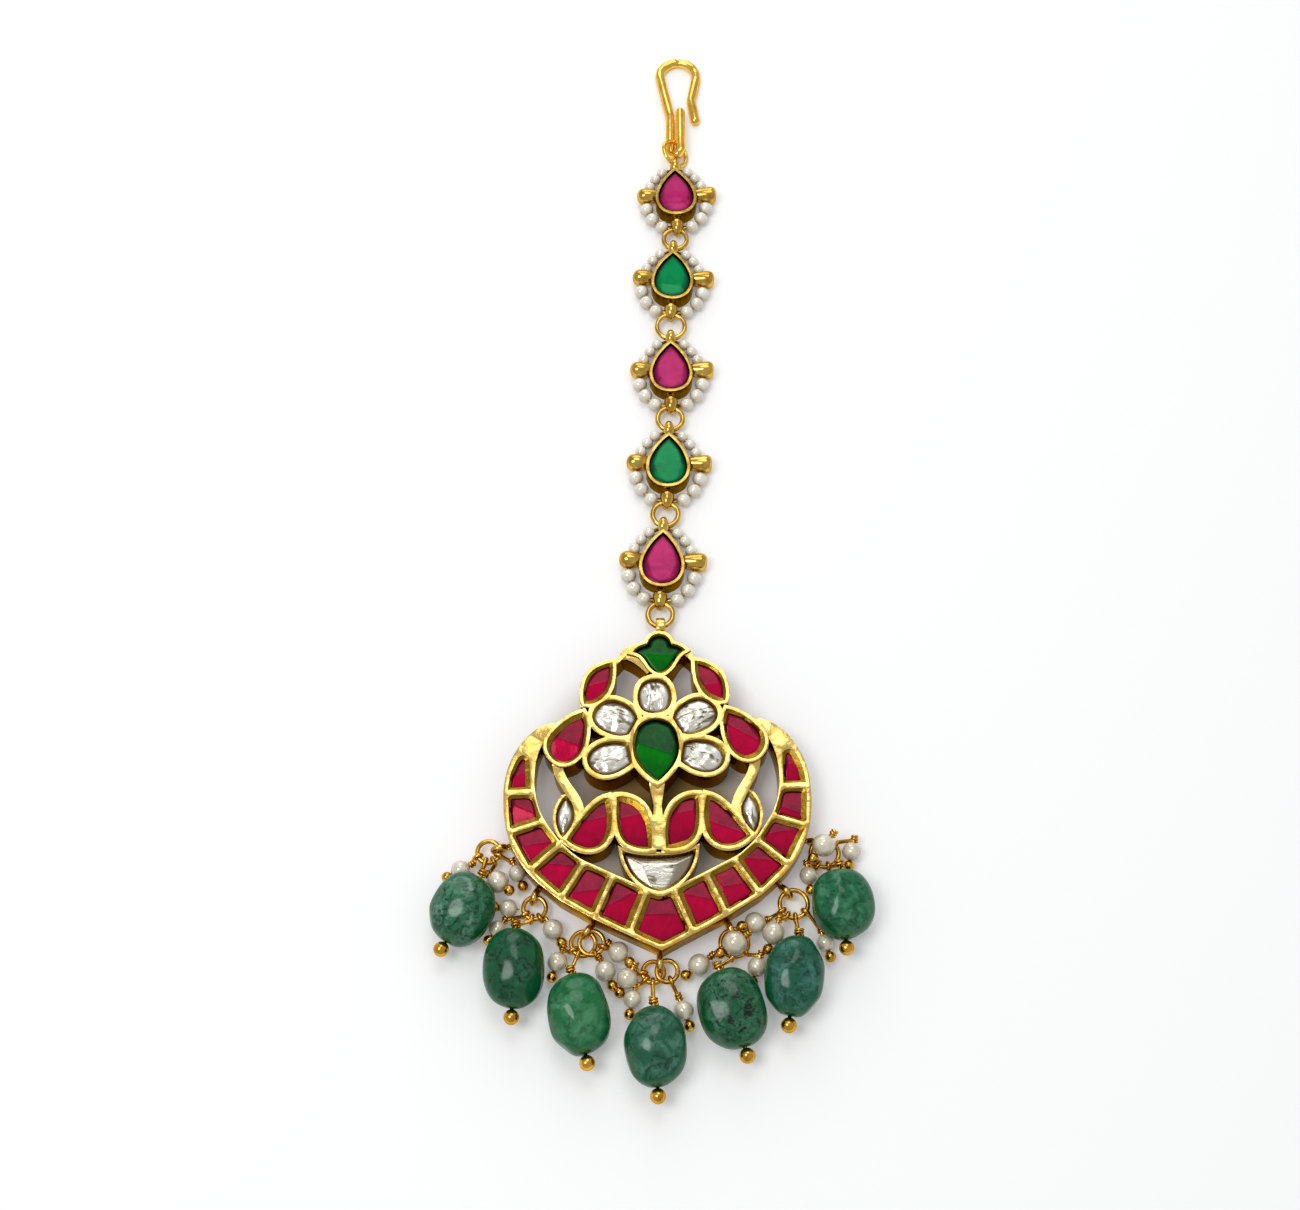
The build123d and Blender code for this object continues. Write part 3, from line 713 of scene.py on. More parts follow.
@dataclass
class Shape:
    """Points and faces that become one mesh, with marks at each point for its finish.

    Marks are named: "depth" is how far in from an edge, "tone" how bright a facet is painted,
    as painted light and shade, and "grain" a place counted along the stone's own length.
    """

    points: list[tuple[float, ...]] = field(default_factory=list)
    faces: list[Face] = field(default_factory=list)
    marks: dict[str, list] = field(default_factory=dict)

    def take(self, other: Shape) -> None:
        """Add another shape's points, faces and marks.

        Args:
            other: The other shape.
        """
        first = len(self.points)
        self.points += other.points
        self.faces += [tuple(i + first for i in face) for face in other.faces]
        for name, values in other.marks.items():
            self.marks.setdefault(name, []).extend(values)

    def rings(self, rings: list[np.ndarray], close: bool = True) -> None:
        """Add a skin over rings of equal count, from the lowest to the highest.

        Args:
            rings: Arrays of points, one ring each.
            close: Whether the first and last ring are filled.
        """
        first = len(self.points)
        count = len(rings[0])
        for ring in rings:
            self.points += [tuple(p) for p in ring]
        for level in range(len(rings) - 1):
            low = first + level * count
            for i in range(count):
                j = (i + 1) % count
                self.faces.append((low + i, low + j, low + count + j, low + count + i))
        if close:
            self.faces.append(tuple(first + i for i in reversed(range(count))))
            top = first + (len(rings) - 1) * count
            self.faces.append(tuple(top + i for i in range(count)))

    def object(self, name: str, material: bpy.types.Material,
               sharp: float = 180.0) -> bpy.types.Object:
        """Make the shape an object.

        Args:
            name: The object's name.
            material: Its finish.
            sharp: Edges that turn by more than this many degrees stay sharp.

        Returns:
            The object.
        """
        mesh = bpy.data.meshes.new(name)
        mesh.from_pydata([tuple(map(float, p)) for p in self.points], [], self.faces)
        for mark, values in self.marks.items():
            kind, key = ("FLOAT_VECTOR", "vector") if mark == "grain" else ("FLOAT", "value")
            data = mesh.attributes.new(mark, kind, "POINT").data
            data.foreach_set(key, np.array(values, np.float32).ravel())
        return smooth_object(mesh, material, sharp)


def smooth_object(mesh: bpy.types.Mesh, material: bpy.types.Material,
                  sharp: float = 180.0) -> bpy.types.Object:
    """Shade a mesh smooth, give it its finish and make it an object.

    Args:
        mesh: The mesh.
        material: Its finish.
        sharp: Edges that turn by more than this many degrees stay sharp.

    Returns:
        The object.
    """
    mesh.materials.append(material)
    mesh.polygons.foreach_set("use_smooth", [True] * len(mesh.polygons))
    if sharp < 180.0:
        mesh.set_sharp_from_angle(angle=radians(sharp))
    piece = bpy.data.objects.new(mesh.name, mesh)
    bpy.context.scene.collection.objects.link(piece)
    return piece


def tube(path: list[Vector], radii: list[float], sides: int = 10) -> Shape:
    """A round wire along a path, with closed ends.

    Args:
        path: Places along the wire's middle.
        radii: The wire's radius at each of them.
        sides: Points round it.

    Returns:
        The wire's shape.
    """
    rings = []
    aside = (path[1] - path[0]).orthogonal()
    for index, spot in enumerate(path):
        ahead = path[min(index + 1, len(path) - 1)] - path[max(index - 1, 0)]
        ahead.normalize()
        aside = (aside - ahead * aside.dot(ahead)).normalized()
        third = ahead.cross(aside)
        rings.append(np.array([
            (spot + (aside * cos(t) + third * sin(t)) * radii[index])[:]
            for t in (2 * pi * k / sides for k in range(sides))]))
    shape = Shape()
    shape.rings(rings)
    return shape


def square_to(way: Vector) -> tuple[Vector, Vector]:
    """Two ways square to a way and to each other."""
    aside = way.orthogonal().normalized()
    return aside, way.cross(aside)


def settle(piece: bpy.types.Object, slot: str, *nodes: str) -> None:
    """Hand a finished piece to the frame, in place of its CAD nodes if it has any.

    Args:
        piece: The piece.
        slot: The record's material slot; not used.
        nodes: The nodes that it stands for.
    """
    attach(piece, "root")
    if nodes:
        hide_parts(*nodes)
    LOG.info("%s: %d faces", piece.name, len(piece.data.polygons))


# Where a point is made from a seed or a number below, the figures beside it only keep each
# piece's draws from the noise apart from those of the others.

def steady_noise(point: Vector) -> Vector:
    """A smooth random vector that depends on the point alone, so it is the same at each run."""
    return Vector([noise.noise(point + Vector((shift, 1.7 * shift, 0.3)))
                   for shift in (0.0, 9.3, 17.1)])


def wobble(point: Vector, size: float, amount: float) -> Vector:
    """A small smooth shift of a point."""
    return steady_noise(point / size) * amount


# ---- stones -------------------------------------------------------------------------------

@dataclass(frozen=True)
class Cut:
    """How a stone is cut. Sizes are in millimetres, slopes and bearings in degrees.

    A ridge near the middle parts the top into an upper and a lower slope, and facets run round
    it. Each facet's tone is painted light and shade by its slope and bearing, with random
    differences. The plays and the spread say how far stones of one cut differ from each other.
    """

    up_slope: float = 3.0
    down_slope: float = 9.0
    bearing: float = 90.0
    bearing_play: float = 60.0
    offset: float = 0.2
    offset_play: float = 2.0
    facets: int = 0
    facet_width: float = 0.8
    facet_slope: float = 24.0
    facet_bearing: float | None = None
    facet_mix: float = 0.75
    facet_shade: float = 0.25
    dome: float = 0.0
    edge: float = 0.3
    edge_drop: float = 0.18
    lumps: float = 0.01
    lump_size: float = 1.5
    spread: float = 0.3
    grid: float = 0.18
    up_tone: float = 0.25
    up_fade: float = 0.1
    down_fade: float = 0.12
    tone_play: float = 0.2
    facet_tone: float = 0.45
    softness: int = 2
    rim_reach: float = 0.9
    lift: float = 0.0


class StoneCut(Enum):
    """The cuts that the jewel's stones have."""

    BLOCK = Cut(up_slope=3.0, down_slope=9.0, offset=0.4, facets=6, facet_width=0.75,
                facet_slope=15.0, edge=0.45, edge_drop=0.25, spread=0.9, up_tone=0.15)
    PEAR = Cut(up_slope=1.0, down_slope=11.0, bearing=70.0, offset=-0.1, facets=9,
               facet_width=0.75, facet_slope=20.0, spread=0.4, up_tone=0.1)
    LEAF = Cut(up_slope=3.0, down_slope=10.0, offset=0.6, facets=7, facet_width=0.7,
               facet_slope=20.0, spread=0.8, up_tone=0.15)
    LINK = Cut(up_slope=2.0, down_slope=4.0, offset=-1.6, facets=11, facet_width=1.05,
               facet_slope=10.0, edge=0.2, edge_drop=0.06, spread=0.3, up_tone=0.75,
               lift=0.12)
    CROWN = Cut(up_slope=3.0, down_slope=8.0, offset=-0.2, edge=0.6, edge_drop=0.3)
    FAN = Cut(up_slope=1.0, down_slope=2.0, offset=0.6, facets=3, facet_width=1.7,
              facet_slope=16.0, facet_bearing=90.0, facet_mix=0.0, spread=0.1, edge=0.4,
              edge_drop=0.2, lumps=0.02, up_tone=1.0, facet_tone=-0.2)
    POLKI = Cut(up_slope=2.0, down_slope=2.0, dome=0.35, edge=0.5, edge_drop=0.3, lumps=0.12,
                lump_size=0.9, up_tone=1.0)


def stone_outline(solid: Solid, step: float = 0.2) -> np.ndarray:
    """A stone's outline in plan, smooth and counter-clockwise, in millimetres.

    Args:
        solid: The stone's solid.
        step: The spacing of its points, in millimetres.

    Returns:
        The outline.
    """
    loop = smooth_loop(solid.top_outline(), step * MM) / MM
    ahead = np.roll(loop, -1, 0)
    turn = (loop[:, 0] * ahead[:, 1] - loop[:, 1] * ahead[:, 0]).sum()
    return loop if turn > 0 else loop[::-1]


def edge_distance(spots: np.ndarray, loop: np.ndarray) -> np.ndarray:
    """How far each place in plan is from a loop.

    Args:
        spots: The places.
        loop: The loop.

    Returns:
        A distance for each place.
    """
    ahead = np.roll(loop, -1, 0) - loop
    away = spots[:, None, :] - loop[None, :, :]
    lengths = np.maximum((ahead * ahead).sum(1), TINY ** 2)
    share = np.clip((away * ahead).sum(2) / lengths, 0, 1)
    return np.linalg.norm(away - share[:, :, None] * ahead, axis=2).min(1)


def within(spots: np.ndarray, loop: np.ndarray) -> np.ndarray:
    """Which places in plan are inside a loop, by how many of its sides are to their right.

    Args:
        spots: The places.
        loop: The loop.

    Returns:
        True or false for each place.
    """
    x, y = spots[:, 0][:, None], spots[:, 1][:, None]
    here, there = loop, np.roll(loop, -1, 0)
    rise = np.where(there[:, 1] == here[:, 1], TINY, there[:, 1] - here[:, 1])
    crossing = (here[:, 1] > y) != (there[:, 1] > y)
    left = x < (there[:, 0] - here[:, 0]) * (y - here[:, 1]) / rise + here[:, 0]
    return (crossing & left).sum(1) % 2 == 1


def lattice(loop: np.ndarray, step: float) -> np.ndarray:
    """Places on a triangular lattice inside a loop, clear of its edge.

    Args:
        loop: The loop.
        step: The lattice's spacing.

    Returns:
        The places.
    """
    row_rise, clear = 0.866 * step, 0.6 * step
    low, high = loop.min(0), loop.max(0)
    rows = []
    for index, y in enumerate(np.arange(low[1], high[1], row_rise)):
        x = np.arange(low[0] + (index % 2) * step / 2, high[0], step)
        rows.append(np.column_stack([x, np.full(len(x), y)]))
    spots = np.vstack(rows)
    return spots[within(spots, loop) & (edge_distance(spots, loop) > clear)]


def crown(cut: Cut, spots: np.ndarray, loop: np.ndarray,
          seed: int) -> tuple[np.ndarray, np.ndarray]:
    """The top of a cut stone.

    Args:
        cut: The cut.
        spots: Places in plan, in millimetres.
        loop: The girdle, in millimetres.
        seed: A number that makes the stone's small differences its own.

    Returns:
        For each place, its height over the girdle in millimetres and its facet's tone, which
        is painted light and shade.
    """
    own = steady_noise(Vector((seed * 7.31, 2.2, 5.5)))
    middle = loop.mean(0)
    bearing = radians(cut.bearing + own.x * cut.bearing_play * cut.spread)
    along = (spots - middle) @ np.array([cos(bearing), sin(bearing)])
    over = along - cut.offset - own.y * cut.offset_play * cut.spread
    height = np.where(over > 0, -over * tan(radians(cut.up_slope)),
                      over * tan(radians(cut.down_slope)))
    # Painted light and shade: the lower slope is painted lit and the upper slope shaded, with
    # random differences.
    tone = np.where(over > 0, cut.up_tone + cut.up_fade * over, 1.0 + cut.down_fade * over)
    tone += cut.tone_play * own.z
    for index in range(cut.facets):
        turn = 2 * pi * (index + own.z) / cut.facets
        if cut.facet_bearing is not None:
            turn = radians(cut.facet_bearing) + 2 * pi * index / cut.facets
        way = np.array([cos(turn), sin(turn)])
        reach = ((loop - middle) @ way).max()
        lean = np.maximum((spots - middle) @ way - (reach - cut.facet_width), 0)
        lean = -lean * tan(radians(cut.facet_slope))
        luck = noise.noise(Vector((seed * 1.9, index * 3.1, 4.4)))
        # Painted shade by bearing: facets that face +Y are shaded more, with a random part.
        shade = cut.facet_tone + cut.facet_mix * luck - cut.facet_shade * sin(turn)
        tone = np.where(lean < height, shade, tone)
        height = np.minimum(height, lean)
    distance = edge_distance(spots, loop)
    near = np.clip(1 - distance / cut.edge, 0, 1)
    height -= cut.edge_drop * near ** 2
    height += cut.dome * (1 - (1 - distance / distance.max()) ** 2)
    height += cut.lumps * np.array([
        noise.noise(Vector((*spot, seed * 3.3)) / cut.lump_size) for spot in spots])
    return height, np.clip(tone, 0, 1)


def blur(values: np.ndarray, faces: list[Face], times: int) -> np.ndarray:
    """Average each point's value with its neighbours', so that facets meet softly.

    Args:
        values: A value for each point.
        faces: The faces that join them.
        times: How often to average.

    Returns:
        The new values.
    """
    pairs = np.array(sides_of(faces))
    for _ in range(times):
        total, count = values.copy(), np.ones(len(values))
        np.add.at(total, pairs[:, 0], values[pairs[:, 1]])
        np.add.at(count, pairs[:, 0], 1)
        values = total / count
    return values


def cut_stone(solid: Solid, cut: Cut, seed: int) -> Shape:
    """Cut a stone to the outline of its solid.

    Args:
        solid: The stone's solid.
        cut: The cut.
        seed: A number that makes its small differences its own.

    Returns:
        The stone's shape.
    """
    loop = stone_outline(solid)
    corners = np.vstack([loop, lattice(loop, cut.grid)])
    inside_only, join_within = 1, 1e-6
    result = geometry.delaunay_2d_cdt([Vector(c) for c in corners], [],
                                      [list(range(len(loop)))], inside_only, join_within)
    spots = np.array([v[:] for v in result[0]])
    faces = [tuple(face) for face in result[2]]
    heights, tones = crown(cut, spots, loop, seed)
    tones = blur(tones, faces, cut.softness)
    level = solid.high[2] / MM + cut.lift
    rim = border(faces)
    middle = loop.mean(0)
    _, ways = np.linalg.eigh(np.cov((loop - middle).T))
    grain = np.column_stack([(spots - middle) @ ways, np.full(len(spots), seed * 2.3)])
    depth = np.clip(edge_distance(spots, loop) / cut.rim_reach, 0, 1)
    order = list(range(len(spots))) + rim
    first, count = len(spots), len(rim)
    walls = [(first + k, first + (k + 1) % count, rim[(k + 1) % count], rim[k])
             for k in range(count)]
    return Shape(
        [(x * MM, y * MM, (level + z) * MM) for (x, y), z in zip(spots, heights)]
        + [(spots[i][0] * MM, spots[i][1] * MM, solid.low[2]) for i in rim],
        faces + walls + [tuple(first + k for k in reversed(range(count)))],
        {"depth": list(depth[order]), "tone": list(tones[order]), "grain": list(grain[order])})


@dataclass(frozen=True)
class FoilBand:
    """Gold foil pressed between a stone and its wall, wider on one side and ragged.

    Sizes are in millimetres, and levels are over the stone's girdle.
    """

    share: float = 1.0
    least: float = 0.2
    lean: float = 0.34
    rag: float = 0.14
    rag_size: float = 0.9
    under_wall: float = 0.13
    smoothing: int = 6
    bottom: float = -0.7
    at_wall: float = 0.2
    at_edge: float = 0.03

    def press(self, solid: Solid, seed: int) -> Shape:
        """Press the foil round a stone.

        Args:
            solid: The stone's solid.
            seed: A number that makes its raggedness its own.

        Returns:
            A closed ring of foil.
        """
        loop = stone_outline(solid)
        own = steady_noise(Vector((seed * 5.17, 8.1, 1.3)))
        side = Vector((own.x, own.y - 0.15)).normalized()
        way = np.roll(loop, -1, 0) - np.roll(loop, 1, 0)
        normal = np.stack([-way[:, 1], way[:, 0]], 1)
        normal /= np.maximum(np.linalg.norm(normal, axis=1), TINY)[:, None]
        lean = np.clip(-(normal @ np.array(side[:])), 0, 1)
        rag = np.array([noise.noise(Vector((*spot, seed * 1.7)) / self.rag_size)
                        for spot in loop])
        width = self.share * (self.least + self.lean * lean + self.rag * rag)
        wall, edge = loop - normal * self.under_wall, loop + normal * width[:, None]
        for _ in range(self.smoothing):
            edge = (np.roll(edge, 1, 0) + np.roll(edge, -1, 0) + edge) / 3
        level = solid.high[2] / MM
        rings = [np.column_stack([ring, np.full(len(ring), level + rise)]) * MM
                 for ring, rise in ((wall, self.bottom), (wall, self.at_wall),
                                    (edge, self.at_edge), (edge, self.bottom))]
        shape = Shape()
        shape.rings(rings + [rings[0]], close=False)
        return shape


# ---- the camera, the light and the floor --------------------------------------------------

@dataclass(frozen=True)
class Lamp:
    """A round soft lamp that points at the jewel.

    Its bearing is in degrees from +X towards +Y, its tilt in degrees off the vertical, and its
    distance and width in metres. A face of radiance 1 looks white.
    """

    name: str
    bearing: float
    tilt: float
    away: float
    size: float
    radiance: float

    def hang(self, aim: Vector) -> None:
        """Hang the lamp, pointing at a place.

        Args:
            aim: The place.
        """
        data = bpy.data.lights.new(self.name, "AREA")
        data.shape = "DISK"
        data.size = self.size
        data.energy = self.radiance * pi * pi * self.size * self.size / 4
        lamp = bpy.data.objects.new(self.name, data)
        turn, lean = radians(self.bearing), radians(self.tilt)
        out = Vector((cos(turn) * sin(lean), sin(turn) * sin(lean), cos(lean)))
        lamp.location = aim + out * self.away
        lamp.rotation_euler = (-out).to_track_quat("-Z", "Y").to_euler()
        bpy.context.scene.collection.objects.link(lamp)


@dataclass
class Studio:
    """The pale floor, the soft lamps and the camera over the jewel."""

    camera_place: Triple = (-0.00089, -0.068736, 0.203696)
    camera_tilt: float = 24.0
    lens: float = 45.69
    sensor: float = 36.0
    nearest: float = 0.005
    floor_size: float = 6.0
    floor: Colour = (0.92, 0.92, 0.92)
    # The painted shadow under the pendant: its colour, and the place, stretch and edges of the
    # patch.
    painted_shadow_colour: Colour = (0.34, 0.23, 0.08)
    painted_shadow_shift: Triple = (0.0, 0.22, 0.0)
    painted_shadow_scale: Triple = (50.0, 44.0, 0.0)
    painted_shadow_edge: tuple[float, float] = (0.3, 0.9)
    glow: float = 0.16
    aim: Triple = (0.0, 0.02, 0.0)
    lamps: tuple[Lamp, ...] = (Lamp("key", 88.0, 26.0, 0.50, 0.26, 2.2),
                               Lamp("back", 95.0, 64.0, 0.60, 0.40, 1.4),
                               Lamp("spark", 200.0, 25.0, 0.50, 0.22, 5.2))
    room: Colour = (0.98, 0.99, 1.0)
    room_strength: float = 0.53

    def build(self) -> None:
        """Build all of it."""
        bpy.context.scene.view_settings.view_transform = "Standard"
        self.add_camera()
        self.add_floor()
        for lamp in self.lamps:
            lamp.hang(Vector(self.aim))
        self.add_world()

    def add_camera(self) -> None:
        """Place the camera."""
        data = bpy.data.cameras.new("camera")
        data.lens = self.lens
        data.sensor_width = self.sensor
        data.sensor_fit = "HORIZONTAL"
        data.clip_start = self.nearest
        camera = bpy.data.objects.new("camera", data)
        camera.location = self.camera_place
        camera.rotation_euler = (radians(self.camera_tilt), 0.0, 0.0)
        bpy.context.scene.collection.objects.link(camera)
        bpy.context.scene.camera = camera

    def add_floor(self) -> None:
        """Lay the pale floor, which shows white but keeps the jewel's shadow.

        Under the pendant it is painted darker and brownish, with less glow: painted shadow and
        painted light bounced from the gold.
        """
        half = self.floor_size / 2
        shape = Shape([(-half, -half, 0), (half, -half, 0), (half, half, 0), (-half, half, 0)],
                      [(0, 1, 2, 3)])
        material, sheet, shader = new_material("pale_floor", Roughness=0.9,
                                               Specular_IOR_Level=0.0,
                                               Emission_Color=(1.0, 1.0, 1.0))
        # Painted shadow and painted gold bounce light, fading out from under the pendant.
        near = sheet.add("Mapping", vector_type="POINT", Location=self.painted_shadow_shift,
                         Scale=self.painted_shadow_scale)
        sheet.join(sheet.add("TexCoord").outputs["Object"], near.inputs["Vector"])
        away = sheet.add("VectorMath", operation="LENGTH")
        sheet.join(near.outputs["Vector"], away.inputs[0])
        painted_shadow_share = sheet.spread(away.outputs["Value"], *self.painted_shadow_edge, 1.0, 0.0)
        sheet.join(sheet.blend(painted_shadow_share, self.floor, self.painted_shadow_colour), shader.inputs["Base Color"])
        path = sheet.add("LightPath")
        seen = sheet.maths("ADD", path.outputs["Is Camera Ray"], path.outputs["Is Glossy Ray"])
        seen = sheet.maths("ADD", seen, path.outputs["Is Transmission Ray"])
        seen = sheet.maths("MINIMUM", seen, 1.0)
        shine = sheet.maths("MULTIPLY", seen, sheet.spread(painted_shadow_share, 0.0, 1.0, self.glow, 0.0))
        sheet.join(shine, shader.inputs["Emission Strength"])
        floor = shape.object("floor", material)

    def add_world(self) -> None:
        """Light the jewel softly from all round."""
        world = bpy.data.worlds.new("room")
        bpy.context.scene.world = world
        world.use_nodes = True
        sheet = NodeSheet(world.node_tree)
        back = sheet.add("Background", Color=self.room, Strength=self.room_strength)
        sheet.join(back.outputs[0], sheet.add("OutputWorld").inputs[0])


# ---- hand-worked metal --------------------------------------------------------------------

def move_out(work: bmesh.types.BMesh, moves: list[Vector]) -> None:
    """Move each point of a mesh, but never under the floor.

    Args:
        work: The mesh.
        moves: A move for each of its points, in order.
    """
    for vertex, move in zip(work.verts, moves):
        vertex.co += move
        vertex.co.z = max(vertex.co.z, 0.0)


@dataclass(frozen=True)
class HandWork:
    """How far a setting is worked by hand. Sizes are in millimetres, angles in degrees.

    Its fittings are its eyes, lugs and bosses. They have no rim over them, and are worked apart.
    """

    rounding: float
    unevenness: float
    uneven_size: float = 2.6
    segments: int = 3
    sharp: float = 40.0
    crease: float = 38.0
    flat: float = 1.5
    longest: float = 1.2
    cuts: int = 2
    rim_depth: float = 0.6
    fitting_rounding: float = 0.24
    fitting_growth: float = 0.1
    fitting_clear: float = 0.3

    def fittings(self, work: bmesh.types.BMesh) -> set[bmesh.types.BMVert]:
        """The points of the fittings: those that no rim stands over.

        Args:
            work: The setting's mesh.

        Returns:
            The fittings' points.
        """
        rim_level = max(vertex.co.z for vertex in work.verts) - self.rim_depth * MM
        rims = [vertex for vertex in work.verts if vertex.co.z > rim_level]
        tree = kdtree.KDTree(len(rims))
        for index, vertex in enumerate(rims):
            tree.insert((vertex.co.x, vertex.co.y, 0), index)
        tree.balance()
        return {vertex for vertex in work.verts
                if tree.find((vertex.co.x, vertex.co.y, 0))[2] > self.fitting_clear * MM}

    def round_edges(self, work: bmesh.types.BMesh, edges: list[bmesh.types.BMEdge],
                    rounding: float) -> None:
        """Round the sharp ones of some edges, by a distance in millimetres.

        Args:
            work: The setting's mesh.
            edges: The edges.
            rounding: The distance.
        """
        sharp = [e for e in edges if e.is_valid and len(e.link_faces) == 2
                 and e.calc_face_angle(0.0) > radians(self.sharp)]
        bmesh.ops.bevel(work, geom=sharp, offset=rounding * MM, offset_type="OFFSET",
                        segments=self.segments, profile=0.5, affect="EDGES",
                        clamp_overlap=True)

    def soften(self, node: str, material: bpy.types.Material, slot: str) -> bpy.types.Object:
        """Make a hand-finished copy of a CAD node, with rounded edges and small unevenness.

        Args:
            node: The node.
            material: Its finish.
            slot: The record's material slot.

        Returns:
            The piece.
        """
        mesh = bpy.data.meshes.new("worked_" + node)
        work = copy_of(node, MERGE)
        mark = work.verts.layers.float.new("fitting")
        bmesh.ops.dissolve_limit(work, angle_limit=radians(self.flat), verts=work.verts,
                                 edges=work.edges)
        low = self.fittings(work)
        straps = [e for e in work.edges if e.verts[0] in low and e.verts[1] in low]
        rims = [e for e in work.edges if not (e.verts[0] in low and e.verts[1] in low)]
        self.round_edges(work, rims, self.rounding)
        self.round_edges(work, straps, self.fitting_rounding)
        long_edges = [e for e in work.edges if e.calc_length() > self.longest * MM]
        bmesh.ops.subdivide_edges(work, edges=long_edges, cuts=self.cuts, use_grid_fill=False)
        work.normal_update()
        low = self.fittings(work)
        move_out(work, [
            vertex.normal * (self.fitting_growth * MM if vertex in low else 0)
            + wobble(vertex.co, self.uneven_size * MM, self.unevenness * MM)
            for vertex in work.verts])
        for vertex in low:
            vertex[mark] = 1.0
        bmesh.ops.triangulate(work, faces=[f for f in work.faces if len(f.verts) > 4])
        work.to_mesh(mesh)
        work.free()
        piece = smooth_object(mesh, material, self.crease)
        settle(piece, slot, node)
        return piece


def thicken(node: str, material: bpy.types.Material, growth: float) -> None:
    """Replace a CAD node of wire with a copy whose wire is a little thicker and uneven.

    Args:
        node: The node.
        material: Its finish.
        growth: How far its surface moves out, in millimetres.
    """
    merge, uneven, uneven_size = 0.03 * MM, 0.4, 0.9 * MM
    mesh = bpy.data.meshes.new("wire_" + node)
    work = copy_of(node, merge)
    work.normal_update()
    move_out(work, [
        vertex.normal * (growth * MM * (1 + uneven * noise.noise(vertex.co / uneven_size)))
        for vertex in work.verts])
    work.to_mesh(mesh)
    work.free()
    settle(smooth_object(mesh, material), "wire_gold", node)


# ---- pearls -------------------------------------------------------------------------------

@dataclass(frozen=True)
class PearlForm:
    """The form of drilled pearls: a little out of round, dimpled where the hole comes out."""

    around: int
    squat: float = 1.0
    swell: float = 1.01
    rough: float = 0.035
    rough_pitch: float = 1.3
    dimple: float = 0.10
    dimple_reach: float = 3.2

    def shape(self, solid: Solid, seed: int) -> Shape:
        """Shape one pearl.

        Args:
            solid: The pearl's solid.
            seed: A number that makes its unevenness its own.

        Returns:
            The pearl's shape.
        """
        way, middle = Vector(solid.drill()), Vector(solid.middle)
        aside, third = square_to(way)
        radius = float((solid.high - solid.low).max()) / 2
        rings = []
        levels = self.around // 2
        for level in range(1, levels):
            angle = pi * level / levels
            flat = sin(angle)
            ring = []
            for k in range(self.around):
                turn = 2 * pi * k / self.around
                out = (aside * (cos(turn) * flat) + third * (sin(turn) * flat)
                       - way * cos(angle))
                spot = out * self.rough_pitch + Vector((seed * 3.7, 0, 0))
                rough = noise.noise(spot) * self.rough
                dimple = self.dimple * max(0.0, 1 - flat * self.dimple_reach) ** 2
                reach = radius * (self.swell + rough - dimple)
                spot = middle + (out * reach * self.squat
                                 - way * (out.dot(way) * reach * (self.squat - 1)))
                ring.append((spot.x, spot.y, max(spot.z, 0.0)))
            rings.append(np.array(ring))
        shape = Shape()
        shape.rings(rings)
        return shape

    def string(self, node: str, material: bpy.types.Material) -> None:
        """Make all the pearls of a node as one piece.

        Args:
            node: The node.
            material: The pearls' finish.
        """
        shape = Shape()
        for index, solid in enumerate(solids_of(node)):
            shape.take(self.shape(solid, index + len(node)))
        settle(shape.object("round_" + node, material), "pearl", node)


# ---- pendant ------------------------------------------------------------------------------

